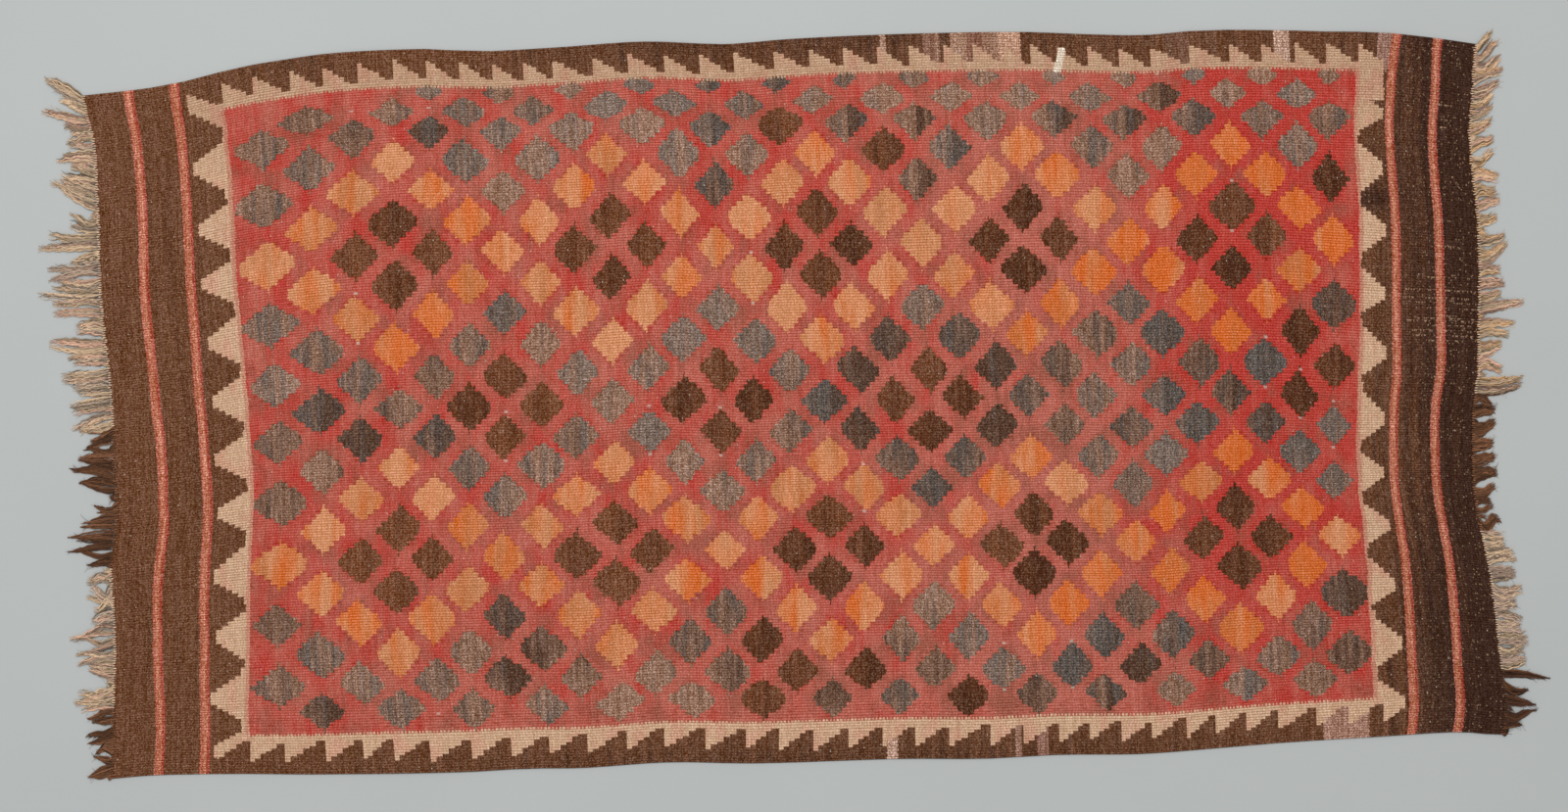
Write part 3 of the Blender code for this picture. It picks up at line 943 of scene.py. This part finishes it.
        # painted light on the ribs' crowns and beads, painted shade in the creases and painted shadow in the
        # slits
        bead = abs((self.bead % 1.0) * 2 - 1) ** 2
        crown = (1 - abs(self.within * 2 - 1) ** 1.5) * (1 - bead * wool.bead_share)
        slit = self.slits() * (1 - outside)
        grain = 2.0 ** ((self.grain - 0.5) * heather + streak)
        shade = grain * (crown * wool.crown_light + wool.crease_shade) * (1 - slit * wool.slit_shade)
        dyed = shade ** 0.5     # in shade, wool keeps more of its colour than of its light
        grey = self.nodes.add("ShaderNodeRGBToBW", (colour,)) * (shade - dyed)
        shaded = self.nodes.add("ShaderNodeVectorMath", (colour, dyed, grey), operation="MULTIPLY_ADD")
        hairs = self.chance_of(math.floor(self.across * 2), math.floor(self.along / 1.3) + 0.5)
        fleece = self.read(DARK_FLEECE.name)
        lattice = wool.lattice
        tip = (self.off_row > lattice.tip[0]) * (self.off_row < lattice.tip[1])
        tip = tip * (self.off_column < lattice.tip_half_width) * (self.chance.also(2) > lattice.no_tip)
        worn = (self.read(WORN.name) * self.chance_of(self.warp, 7.0)) > wool.worn_through
        bare = worn * (hairs > 0.72) * (self.within < 0.6)
        return self.nodes.laid(shaded, [
            (undyed * (hairs > 0.9) * (0.35 - fleece * 0.27), wool.hair),
            (undyed * (hairs > 0.98) * fleece * 0.8, wool.hair),
            (tip * (1 - outside) * 0.5, wool.speck),
            (bare * 0.55, wool.tan),
            ((hairs > 0.9993) * 0.6, wool.speck),
        ])


# ---- the cloth


@dataclass
class KilimCloth:
    """The woven cloth, one closed sheet whose upper side has a ridge for each warp."""

    node: str = "kilim_ground"
    weave: Weave = field(default_factory=Weave)
    wool: WovenWool = field(default_factory=WovenWool)
    column_gap: float = 13.0        # mm, the least between two rows of points along the rug
    rib_steps: int = 4              # stretches across each rib
    warps_below: int = 2            # warps to each row of the plain underside
    crease_height: float = 2.35 * MM
    rib_height: float = 0.75 * MM
    rim_height: float = 1.3 * MM    # where the upper side meets the wall of the rim
    end_rounding: tuple[float, ...] = (0.8 * MM, 2.5 * MM, 7 * MM)
    side_rounding: float = 0.6      # warps
    pull_reach: float = 0.26        # metres over which a drifted woven end pulls the pattern with it
    lift: float = 1.4 * MM          # the most that the cloth lies off the floor
    nominal_width: float = 1.04     # metres
    rib_wander: float = 0.32 * MM   # how far each crease wanders from its place
    wander_nodes: int = 30          # places along the rug at which it turns
    wander_seed: int = 5
    held_ends: float = 12.0         # how sharply a pull dies out at the ends, and at the selvedges
    held_selvedges: float = 10.0
    band_stations: tuple[float, ...] = (-975, -953, -930, 905, 930, 953, 975)

    @cached_property
    def rim(self) -> tuple[np.ndarray, ...]:
        """The cloth's outline, read from its CAD node.

        Returns:
            The near selvedge, right end, far selvedge and left end, each as rows of (x, y) from -X or -Y up.
        """
        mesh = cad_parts[self.node].data
        points = np.array([vertex.co for vertex in mesh.vertices])
        middle = (points[:, 2].min() + points[:, 2].max()) / 2
        at_rim = np.abs(points[:, 2] - middle) < self.rim_height * 0.55
        outline = np.unique(np.round(points[at_rim, :2], 5), axis=0)
        order = np.argsort(np.arctan2(outline[:, 1], outline[:, 0]))
        outline = outline[order]
        corners = [int(np.argmax(outline @ (sx, sy))) for sx, sy in ((-1, -1), (1, -1), (1, 1), (-1, 1))]
        runs = []
        for start, end in zip(corners, corners[1:] + corners[:1]):
            count = (end - start) % len(outline)
            runs.append(outline[(start + np.arange(count + 1)) % len(outline)])
        return runs[0], runs[1], runs[2][::-1], runs[3][::-1]

    def place(self, nominal: np.ndarray, share: np.ndarray) -> tuple[np.ndarray, np.ndarray]:
        """Lay woven coordinates out on the uneven rug.

        Args:
            nominal: Metres along the warps from the middle, if the weaving were even.
            share: 0 at the near selvedge to 1 at the far one.

        Returns:
            x and y in the rug's frame.
        """
        near, right, far, left = self.rim
        half = self.weave.half_length * MM
        x = nominal.copy()
        for line, side in ((left, -1), (right, 1)):
            shares = (line[:, 1] - line[0, 1]) / (line[-1, 1] - line[0, 1])
            drift = np.interp(share, shares, line[:, 0] - side * half)
            inward = np.clip((half - side * nominal) / self.pull_reach, 0, 1)
            x += drift * (1 - inward ** 1.5)
        low = np.interp(x, near[:, 0], near[:, 1])
        high = np.interp(x, far[:, 0], far[:, 1])
        y = low + (high - low) * share
        for pull in PULLS:
            off_x = (nominal / MM - pull.x) / pull.reach_x
            off_y = ((share - 0.5) * self.nominal_width / MM - pull.y) / pull.reach_y
            amount = np.exp(-off_x ** 2 - off_y ** 2) * MM
            x += pull.along * amount * (1 - np.abs(nominal / half) ** self.held_ends)
            y += pull.across * amount * (1 - np.abs(2 * share - 1) ** self.held_selvedges)
        return x, y + self.wander(nominal, share)

    def wander(self, nominal: np.ndarray, share: np.ndarray) -> np.ndarray:
        """How far the creases between ribs wander, in metres, for woven coordinates as place takes them."""
        chance = np.random.default_rng(self.wander_seed)
        strays = chance.normal(size=(self.weave.warps + 2, self.wander_nodes + 2)) * self.rib_wander
        strays[0] = strays[self.weave.warps] = 0.0
        across = share * self.weave.warps
        along = (nominal / (self.weave.half_length * MM) + 1) / 2 * self.wander_nodes
        warp, node = across.astype(int), along.astype(int)
        a, b = across - warp, along - node
        near = strays[warp, node] * (1 - b) + strays[warp, node + 1] * b
        far = strays[warp + 1, node] * (1 - b) + strays[warp + 1, node + 1] * b
        return near * (1 - a) + far * a

    def stations(self) -> np.ndarray:
        """Choose where the rows of points lie along the rug: at every tooth of the side borders, and rounding
        its ends. They are in nominal metres."""
        half = self.weave.half_length
        edges = sorted((*FAR_SIDE.edges, *NEAR_SIDE.edges, *self.band_stations))
        kept = [edges[0]]
        for edge in edges[1:]:
            if edge - kept[-1] > self.column_gap:
                kept.append(edge)
        rounding = np.array([0.0, *self.end_rounding])
        return np.concatenate((-half * MM + rounding, np.array(kept) * MM, (half * MM - rounding)[::-1]))

    def lies(self, x: np.ndarray, y: np.ndarray) -> np.ndarray:
        """How far the cloth lies off the floor: soft, shallow waves, as in any rug that was rolled."""
        waves = (
            np.sin(9.0 * x + 2.0 * y + 0.4) + 0.8 * np.sin(17.0 * x - 6.0 * y + 2.1)
            + 0.7 * np.sin(4.0 * x + 13.0 * y + 4.0) + 0.5 * np.sin(31.0 * x + 11.0 * y + 1.0)
        )
        return self.lift * np.clip(waves / 3.0, 0, 1)

    def build(self) -> bpy.types.Object:
        """Model the cloth and dress it."""
        half = self.weave.half_length * MM
        nominal = self.stations()
        upper_rows = self.weave.warps * self.rib_steps + 1
        lower_step = self.rib_steps * self.warps_below
        upper_share = np.linspace(0, 1, upper_rows)
        lower_share = upper_share[::lower_step]

        layers = []
        for share, is_upper in ((upper_share, True), (lower_share, False)):
            grid_x, grid_share = np.meshgrid(nominal, share)
            x, y = self.place(grid_x, grid_share)
            z = self.lies(x, y)
            if is_upper:
                z += self.height(grid_x, grid_share * self.weave.warps)
            layers.append(np.stack((x, y, z, grid_x, grid_share), -1))
        upper, lower = layers
        faces = self.faces(upper.shape[0], lower.shape[0], len(nominal), lower_step)
        points = np.concatenate((upper.reshape(-1, 5), lower.reshape(-1, 5)))

        cloth = smooth_piece("kilim_cloth", points[:, :3], faces)
        woven = np.stack((points[:, 3] / (2 * half) + 0.5, points[:, 4]), -1)
        corners = np.concatenate(faces)
        woven_map = cloth.data.uv_layers.new(name=WOVEN_MAP)
        woven_map.uv.foreach_set("vector", woven[corners].astype(np.float32).ravel())
        numbers = {dye.name: dye.amount(points[:, 0] / MM, points[:, 1] / MM) for dye in DYE_LOTS}
        numbers |= {teeth.name: teeth.count(points[:, 3] / MM) for teeth in (FAR_SIDE, NEAR_SIDE)}
        warps = points[:, 4] * self.weave.warps
        numbers |= LEFT_END.numbers(warps) | RIGHT_END.numbers(warps)
        for name, values in numbers.items():
            carry(cloth, name, values)
        self.wool.dress(cloth)
        return cloth

    def height(self, nominal: np.ndarray, warp: np.ndarray) -> np.ndarray:
        """Height of the upper side over the lower: round ribs with sharp creases, and a rounded rim.

        Args:
            nominal: Metres along the warps from the middle.
            warp: Warps from the near selvedge.

        Returns:
            The heights, in metres.
        """
        half = self.weave.half_length * MM
        full = self.crease_height + self.rib_height * np.abs(np.sin(np.pi * warp))
        from_side = np.minimum(warp, self.weave.warps - warp)
        from_end = np.minimum(half + nominal, half - nominal)
        side_round = np.sqrt(1 - (1 - np.clip(from_side / self.side_rounding, 0, 1)) ** 2)
        end_round = np.sqrt(1 - (1 - np.clip(from_end / self.end_rounding[-1], 0, 1)) ** 2)
        return self.rim_height + (full - self.rim_height) * np.minimum(side_round, end_round)

    def faces(self, upper_rows: int, lower_rows: int, columns: int, lower_step: int) -> list[tuple]:
        """List the faces of the closed sheet.

        Args:
            upper_rows: Rows of points on the upper side.
            lower_rows: Rows of points on the underside.
            columns: Points in each row.
            lower_step: Upper rows to each lower one.

        Returns:
            The faces, each with its points anticlockwise from outside.
        """
        below = upper_rows * columns
        faces = []
        for start, rows, second, last in ((0, upper_rows, 1, columns), (below, lower_rows, columns, 1)):
            for row in range(rows - 1):
                for point in range(start + row * columns, start + (row + 1) * columns - 1):
                    faces.append((point, point + second, point + 1 + columns, point + last))
        last_upper = (upper_rows - 1) * columns
        last_lower = below + (lower_rows - 1) * columns
        for column in range(columns - 1):
            faces.append((below + column, below + column + 1, column + 1, column))
            faces.append((
                last_upper + column, last_upper + column + 1, last_lower + column + 1, last_lower + column
            ))
        for row in range(lower_rows - 1):
            rows = range(row * lower_step, (row + 1) * lower_step + 1)
            low, high = below + row * columns, below + (row + 1) * columns
            faces.append((*[step * columns for step in rows], high, low))
            end = columns - 1
            faces.append((*[step * columns + end for step in reversed(rows)], low + end, high + end))
        return faces


# ---- the fringe


class WarpWool(Enum):
    """The wools of the warps, as sRGB colours."""

    BEIGE = "c8ad8f"
    ROSE_BEIGE = "c8a38c"
    GREY_BEIGE = "b39d89"
    GOLDEN = "c8a37c"
    BROWN = "80573d"
    DARK = "64422c"
    DEEP = "4d3122"
    GREY_ROSE = "b79d8a"


class Tuft(NamedTuple):
    """One tuft, in mm: where it is rooted across the rug, its reach past the end, its tip's lean to +Y, and
    the width of the woven end that it takes."""

    root: float
    reach: float
    lean: float
    width: float


class WoolZone(NamedTuple):
    """From this place across the rug, in mm, towards +Y, the fringe's wools."""

    start: float
    wools: tuple[WarpWool, ...]
    pointed: float                  # how far a lock draws together at its tip, from 0 to 1


LEFT_TUFTS = tuple(Tuft(*sizes) for sizes in (
    (470, 46, 29, 12), (456, 34, 13, 15), (442, 68, 14, 12), (426, 37, 1, 17), (408, 35, 1, 18),
    (389, 49, 2, 19), (369, 35, 10, 20), (347, 45, 15, 21), (322, 62, 30, 27), (288, 37, 8, 19),
    (272, 71, 5, 12), (259, 74, 2, 13), (243, 36, -6, 15), (224, 65, -2, 21), (202, 71, 2, 22),
    (179, 80, 6, 22), (162, 73, 3, 11), (140, 36, 1, 26), (116, 80, 3, 17), (97, 52, -2, 20),
    (72, 68, -6, 20), (51, 55, 1, 20), (31, 59, -6, 18), (6, 57, -13, 21), (-16, 35, -9, 20),
    (-44, 51, -2, 26), (-69, 56, 5, 22), (-92, 46, 9, 20), (-124, 29, 2, 16), (-142, 52, -2, 18),
    (-163, 59, -1, 19), (-181, 58, -1, 16), (-196, 37, -6, 13), (-223, 31, 2, 18), (-247, 35, 0, 16),
    (-260, 24, -1, 10), (-278, 32, -10, 22), (-302, 58, -9, 23), (-327, 51, -10, 24), (-353, 39, 5, 21),
    (-386, 49, -13, 15), (-402, 54, -5, 15), (-421, 34, -7, 20), (-447, 37, -12, 21), (-475, 26, 2, 30),
    (-499, 33, -10, 13),
))
RIGHT_TUFTS = tuple(Tuft(*sizes) for sizes in (
    (475, 22, 22, 13), (461, 33, 20, 15), (445, 36, 14, 16), (429, 41, 15, 16), (411, 38, 14, 16),
    (395, 32, 13, 16), (379, 32, 13, 16), (360, 32, 11, 20), (332, 33, 17, 16), (315, 32, 7, 16),
    (290, 38, 2, 17), (265, 29, 7, 16), (246, 34, 13, 18), (223, 26, 9, 20), (196, 36, 8, 14),
    (174, 43, 17, 20), (152, 28, 3, 18), (134, 37, 4, 17), (115, 29, 6, 16), (97, 60, 9, 19),
    (76, 55, 1, 19), (59, 41, 6, 15), (40, 30, 3, 22), (15, 33, -1, 17), (-14, 64, 1, 23), (-34, 26, -2, 14),
    (-51, 28, 1, 19), (-77, 30, 8, 21), (-100, 27, 5, 20), (-122, 30, 4, 20), (-146, 34, 8, 22),
    (-167, 29, 8, 16), (-187, 22, 4, 23), (-212, 27, 0, 20), (-236, 29, -1, 25), (-262, 38, 0, 22),
    (-286, 36, -1, 22), (-307, 40, -6, 17), (-328, 33, -3, 21), (-352, 37, -6, 23), (-377, 40, -4, 20),
    (-397, 36, 0, 17), (-415, 35, 1, 15), (-431, 63, -10, 13), (-448, 32, -7, 18), (-469, 45, -7, 18),
    (-488, 42, -3, 16), (-505, 26, -4, 13),
))
LEFT_WOOLS = (
    WoolZone(-600, (WarpWool.DARK, WarpWool.BROWN), 0.9),
    WoolZone(-412, (WarpWool.BEIGE, WarpWool.GREY_BEIGE, WarpWool.ROSE_BEIGE), 0.6),
    WoolZone(-206, (WarpWool.DARK, WarpWool.DARK, WarpWool.BROWN), 0.88),
    WoolZone(-4, (WarpWool.BEIGE, WarpWool.BEIGE, WarpWool.ROSE_BEIGE, WarpWool.GREY_BEIGE), 0.45),
)
RIGHT_WOOLS = (
    WoolZone(-600, (WarpWool.DEEP, WarpWool.DARK), 0.9),
    WoolZone(-423, (WarpWool.GREY_ROSE, WarpWool.BEIGE), 0.35),
    WoolZone(-222, (WarpWool.BROWN, WarpWool.DARK), 0.58),
    WoolZone(-24, (WarpWool.GOLDEN, WarpWool.BEIGE, WarpWool.ROSE_BEIGE), 0.55),
)


@dataclass(frozen=True)
class WarpYarn(MattWool):
    """Warp yarn: hand-spun wool whose fibres show as streaks and as a fine relief."""

    sheen: float = 0.05
    specular: float = 0.15
    relief_height: float = 0.3 * MM
    fibre: tuple[float, float, float] = (7 * MM, 1.3 * MM, 1.3 * MM)     # sizes of the fibres' streaks
    contrast: float = 0.75          # from the lighter streaks to the darker ones

    def dress(self, fringe: bpy.types.Object) -> None:
        """Give a fringe this finish."""
        nodes = Nodes("warp_wool_plied")
        wool = nodes.add("ShaderNodeAttribute", output="Color", attribute_name="wool")
        place = nodes.add("ShaderNodeTexCoord", output="Object")
        scale = tuple(1 / size for size in self.fibre)
        place = nodes.add("ShaderNodeVectorMath", (place, scale), operation="MULTIPLY")
        hairs = nodes.add("ShaderNodeTexNoise", {"Vector": place, "Scale": 1.0, "Detail": 3.0})
        shade = hairs * (2 * self.contrast) + (1 - self.contrast)
        colour = nodes.add("ShaderNodeVectorMath", {0: wool, 3: shade}, operation="SCALE")
        self.cover(fringe, nodes, colour, hairs)


@dataclass(frozen=True)
class Lock:
    """Part of a tuft, whose strands draw together to one point. Sizes are in metres."""

    root: float
    width: float
    reach: float
    lean: float
    curl: float                     # by which it swings aside on its way
    turns: float                    # half waves of that swing
    shade: float


@dataclass
class Fringe:
    """One end's warps: each leaves the woven end through a small knot and opens into strands of its lock."""

    name: str
    node: str
    side: int                       # -1 for the left end, +1 for the right one
    tufts: tuple[Tuft, ...]
    zones: tuple[WoolZone, ...]
    seed: int
    cloth: KilimCloth
    finish: WarpYarn = field(default_factory=WarpYarn)
    lock_width: float = 9 * MM      # about, of the parts that a tuft opens into
    longest: float = 1.22           # times its tuft's reach, of the longest lock
    gathering: float = 1.5          # power of a strand's length by which its lock draws together
    curl: float = 3.0 * MM          # by which a lock swings aside
    strands: int = 5                # to a warp
    strand_radius: float = 1.15 * MM
    strand_sides: int = 4
    strand_steps: int = 12
    bulge: float = 1.7 * MM         # by which strands stray from their warp's line
    parting: float = 4.5 * MM       # by which blunt locks' strands part at their tips
    brightest: float = 1.45         # times its wool's colour, of a strand
    knot_radius: float = 1.2 * MM
    knot_length: float = 4.6 * MM
    knot_points: int = 6
    knot_light: float = 1.3         # times its wool's colour, as it stands up into the light
    overlap: float = 3.4 * MM       # by which a warp's knot lies over the woven end
    woven_height: float = 2.9 * MM  # of the woven end, on which the knots lie
    stub_length: float = 9.0 * MM   # of a warp end that broke off
    hairs: int = 5                  # stray fibres to a warp
    hair_radius: float = 0.3 * MM
    hair_points: int = 4
    chance: np.random.Generator = field(init=False)
    points: list = field(default_factory=list)
    faces: list = field(default_factory=list)
    colours: list = field(default_factory=list)

    def __post_init__(self) -> None:
        """Start the fringe's random numbers."""
        self.chance = np.random.default_rng(self.seed)

    def tube(self, path: np.ndarray, radii: np.ndarray, sides: int, colours: np.ndarray) -> None:
        """Add a closed tube.

        Args:
            path: The points that it follows.
            radii: Its radius at each.
            sides: How many sides it has.
            colours: Its linear colour, at each or all along.
        """
        ahead = np.gradient(path, axis=0)
        ahead /= np.linalg.norm(ahead, axis=1)[:, None]
        flat = np.cross(ahead, (0.0, 0.0, 1.0))
        flat /= np.maximum(np.linalg.norm(flat, axis=1), 1e-9)[:, None]
        up = np.cross(flat, ahead)
        turns = np.linspace(0, 2 * np.pi, sides, endpoint=False)[None, :, None]
        ring = np.cos(turns) * flat[:, None] + np.sin(turns) * up[:, None]
        start = sum(len(batch) for batch in self.points)
        self.points.append((path[:, None] + ring * radii[:, None, None]).reshape(-1, 3))
        self.colours.append(np.repeat(np.broadcast_to(colours, path.shape), sides, axis=0))
        last = start + (len(path) - 1) * sides
        for row in range(start, last, sides):
            for side in range(sides):
                a, b = row + side, row + (side + 1) % sides
                self.faces.append((a, b, b + sides, a + sides))
        self.faces.append(tuple(range(start, start + sides))[::-1])
        self.faces.append(tuple(range(last, last + sides)))

    def wool_at(self, across: float) -> tuple[np.ndarray, float]:
        """The linear colour of the warp at a place across the rug, in mm, and how pointed its locks are."""
        zone = [zone for zone in self.zones if across >= zone.start][-1]
        wool = zone.wools[int(self.chance.integers(len(zone.wools)))]
        return np.array(linear(wool.value)[:3]), zone.pointed

    def locks(self) -> list[Lock]:
        """Open the tufts into locks, which fan out. The middle ones of a tuft are the longer."""
        found = []
        spread = 1.5 * (self.longest - 1)
        for tuft in self.tufts:
            count = max(1, round(tuft.width * MM / self.lock_width))
            for place in (np.arange(count) + 0.5) / count - 0.5:
                length = self.longest - 0.2 * abs(place) - spread * self.chance.random() ** 1.3
                found.append(Lock(
                    root=(tuft.root + place * tuft.width) * MM,
                    width=tuft.width * MM / count,
                    reach=tuft.reach * MM * length,
                    lean=(tuft.lean - place * tuft.width * 0.35 + self.chance.normal() * 1.5) * MM,
                    curl=self.curl * self.chance.normal(),
                    turns=0.9 + 0.9 * self.chance.random(),
                    shade=1 + 0.3 * (self.chance.random() - 0.5),
                ))
        return found

    def warp_end(self, root: np.ndarray, lock: Lock | None) -> None:
        """Add one warp's end: its knot, its strands and the fibres that stand off them.

        Args:
            root: Where it leaves the woven end.
            lock: The lock that it lies in, or None if it broke off short.
        """
        colour, pointed = self.wool_at(root[1] / MM)
        if lock is None:
            reach = self.stub_length * (0.6 + 0.7 * self.chance.random())
            lean = 4 * MM * self.chance.normal()
            lock = Lock(root[1], self.lock_width, reach, lean, curl=0.0, turns=1.0, shade=0.85)
        top = self.cloth.lies(*root[:2]) + self.woven_height
        self.knot(root, top, colour)
        for _ in range(self.strands):
            path = self.strand(root, top, lock, colour, pointed)
        self.stray_hairs(path, colour)

    def knot(self, root: np.ndarray, top: float, colour: np.ndarray) -> None:
        """Add the knot that ends a warp's weaving: an oval that lies over the woven end.

        Args:
            root: Where the warp leaves the woven end.
            top: The height at which the knot lies.
            colour: Its wool's linear colour.
        """
        share = np.linspace(0, 1, self.knot_points)
        path = np.zeros((self.knot_points, 3))
        along = self.knot_length * share - self.overlap + 0.7 * MM * self.chance.normal()
        path[:, 0] = root[0] + self.side * along
        path[:, 1] = root[1] + 0.5 * MM * self.chance.normal() * (share - 0.5)
        path[:, 2] = top + 0.2 * MM * self.chance.random()
        radii = self.knot_radius * (0.35 + 0.65 * np.sin(np.pi * (0.08 + 0.84 * share)))
        self.tube(path, radii, 5, colour * (self.knot_light + 0.4 * (self.chance.random() - 0.5)))

    def strand(
        self, root: np.ndarray, top: float, lock: Lock, colour: np.ndarray, pointed: float
    ) -> np.ndarray:
        """Add one strand. It swings with its lock, draws together with it, crimps, and sinks to the floor.

        Args:
            root: Where its warp leaves the woven end.
            top: The height from which it comes.
            lock: The lock that it lies in.
            colour: Its wool's linear colour.
            pointed: How far the lock draws together at its tip.

        Returns:
            The points that it follows.
        """
        share = np.linspace(0, 1, self.strand_steps + 1)
        blunt = 1 - pointed
        reach = lock.reach * (1 - 0.35 * self.chance.random() ** 2)
        stray = self.bulge * self.chance.normal() * np.sin(np.pi * share ** 0.8)
        wave = share * reach / (15 * MM) + self.chance.random()
        crimp = (0.5 + 1.7 * blunt) * MM * np.sin(2 * np.pi * wave) * share ** 0.5
        apart = (root[1] - lock.root) * (1 - pointed * share ** self.gathering) + stray + crimp
        apart += blunt * self.parting * self.chance.normal() * share ** 2
        swing = lock.curl * np.sin(np.pi * share * lock.turns)
        layer = (1.3 + 3.2 * self.chance.random()) * MM
        settle = np.clip(share * reach / (7 * MM), 0, 1)
        radii = self.strand_radius * (0.7 + 0.5 * np.sin(np.pi * share ** 0.8)) * (1 - 0.8 * share ** 4)

        path = np.zeros((len(share), 3))
        path[:, 0] = root[0] + self.side * (reach + MM) * share - self.side * MM
        path[:, 1] = lock.root + apart + swing + lock.lean * (0.5 * share + 0.5 * share ** 2)
        path[:, 2] = (top - 0.4 * MM) * (1 - settle) + layer * settle * (1 - 0.45 * share)
        path[:, 2] = np.maximum(path[:, 2], radii + 0.05 * MM)
        shade = min(lock.shade * 2 ** (0.7 * self.chance.normal()), self.brightest)
        tone = (0.85 + 0.35 * share ** 1.5)[:, None]
        self.tube(path, radii, self.strand_sides, colour[None] * tone * shade)
        return path

    def stray_hairs(self, path: np.ndarray, colour: np.ndarray) -> None:
        """Add the fibres that stand off a strand, most of them near its tip.

        Args:
            path: The points that the strand follows.
            colour: Its linear colour.
        """
        share = np.linspace(0, 1, self.hair_points)[:, None]
        for _ in range(self.hairs):
            start = int((len(path) - 2) * (0.1 + 0.9 * self.chance.random() ** 0.7))
            length = (5 + 7 * self.chance.random()) * MM
            heading = path[start + 1] - path[start]
            heading = heading / np.linalg.norm(heading)
            aside = np.array((0.0, self.chance.normal() * 0.4, 0.15 * self.chance.random()))
            line = path[start] + (heading * share + aside * share ** 1.5) * length
            line[:, 1] += self.strand_radius * self.chance.normal()
            line[:, 2] = np.maximum(line[:, 2], self.hair_radius * 1.5)
            radii = self.hair_radius * np.linspace(1, 0.5, self.hair_points)
            self.tube(line, radii, 3, colour * (0.9 + 0.5 * self.chance.random()))

    def build(self) -> bpy.types.Object:
        """Model the fringe and dress it."""
        warps = self.cloth.weave.warps
        half = self.cloth.weave.half_length * MM
        x, y = self.cloth.place(np.full(warps, self.side * half), (np.arange(warps) + 0.5) / warps)
        locks = self.locks()
        for root_x, root_y in zip(x, y):
            near = [lock for lock in locks if abs(root_y - lock.root) <= lock.width / 2 + 0.5 * MM]
            nearest = min(near, key=lambda lock: abs(root_y - lock.root), default=None)
            self.warp_end(np.array((root_x, root_y, 0.0)), nearest)
        fringe = smooth_piece(self.name, np.concatenate(self.points), self.faces)
        colours = np.concatenate(self.colours)
        carry(fringe, "wool", np.insert(colours, 3, 1.0, axis=1), "FLOAT_COLOR")
        self.finish.dress(fringe)
        return fringe


# ---- the studio


@dataclass
class Studio:
    """A plain pale floor, soft light from above, and a camera that looks straight down."""

    floor_size: float = 12.0
    floor_drop: float = 0.4 * MM
    floor_colour: str = "bfc3c2"
    sky_strength: float = 0.5
    key_energy: float = 120.0
    key_size: float = 3.0
    key_place: tuple[float, float, float] = (-0.5, 1.6, 4.6)
    camera_place: tuple[float, float, float] = (-0.013, -0.007, 3.2)
    view_width: float = 2.272       # metres of floor that the picture's width takes in
    camera_turn: float = -2.0       # degrees, as the rug lies a little askew in the picture
    sensor: float = 36.0

    def build(self) -> None:
        """Set the floor, the lights and the camera up."""
        self.lay_floor()
        self.light()
        self.aim_camera()

    def lay_floor(self) -> None:
        """Lay the floor just under the rug."""
        bpy.ops.object.select_all(action="DESELECT")
        bpy.ops.mesh.primitive_plane_add(size=self.floor_size, location=(0, 0, -self.floor_drop))
        floor = bpy.context.object
        floor.name = "studio_floor"
        nodes = Nodes("painted_concrete")
        place = nodes.add("ShaderNodeTexCoord", output="Object")
        cloud = nodes.add("ShaderNodeTexNoise", {"Vector": place, "Scale": 3.0, "Detail": 4.0})
        shade = cloud * 0.08 + 0.96
        links = {0: linear(self.floor_colour)[:3], 3: shade}
        colour = nodes.add("ShaderNodeVectorMath", links, operation="SCALE")
        shader = nodes.add("ShaderNodeBsdfPrincipled", {"Base Color": colour, "Roughness": 0.8})
        nodes.add("ShaderNodeOutputMaterial", (shader,))
        floor.data.materials.append(nodes.material)

    def light(self) -> None:
        """Light the rug evenly, with one large soft key light."""
        scene = bpy.context.scene
        world = bpy.data.worlds.new("studio_sky")
        world.use_nodes = True
        background = world.node_tree.nodes["Background"]
        background.inputs["Color"].default_value = (1.0, 1.0, 1.0, 1.0)
        background.inputs["Strength"].default_value = self.sky_strength
        scene.world = world
        scene.view_settings.view_transform = "Standard"
        lamp = bpy.data.lights.new("key", "AREA")
        lamp.energy = self.key_energy
        lamp.size = self.key_size
        key = bpy.data.objects.new("key", lamp)
        key.location = self.key_place
        key.rotation_mode = "QUATERNION"
        key.rotation_quaternion = (-Vector(self.key_place)).to_track_quat("-Z", "Y")
        scene.collection.objects.link(key)

    def aim_camera(self) -> None:
        """Hang the camera over the rug."""
        lens = bpy.data.cameras.new("camera")
        lens.sensor_width = self.sensor
        lens.lens = self.sensor * self.camera_place[2] / self.view_width
        camera = bpy.data.objects.new("camera", lens)
        camera.location = self.camera_place
        camera.rotation_euler = (0.0, 0.0, math.radians(self.camera_turn))
        bpy.context.scene.collection.objects.link(camera)
        bpy.context.scene.camera = camera


# ---- the rug


def main() -> None:
    """Build the rug's looks around the frame."""
    logging.basicConfig(level=logging.INFO, format="%(name)s: %(message)s")
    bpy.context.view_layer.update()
    Studio().build()

    sheet = KilimCloth()
    cloth = sheet.build()
    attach(cloth, BODY)
    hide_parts(sheet.node)
    log.info("%s: %d faces", cloth.name, len(cloth.data.polygons))

    left = Fringe("left_fringe_yarns", "fringe_left", -1, LEFT_TUFTS, LEFT_WOOLS, 11, sheet)
    right = Fringe(
        "right_fringe_yarns", "fringe_right", 1, RIGHT_TUFTS, RIGHT_WOOLS, 12, sheet,
        lock_width=15 * MM, longest=1.1, gathering=0.6,
    )
    for end in (left, right):
        fringe = end.build()
        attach(fringe, BODY)
        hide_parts(end.node)
        log.info("%s: %d faces", fringe.name, len(fringe.data.polygons))


if __name__ == "__main__":
    main()
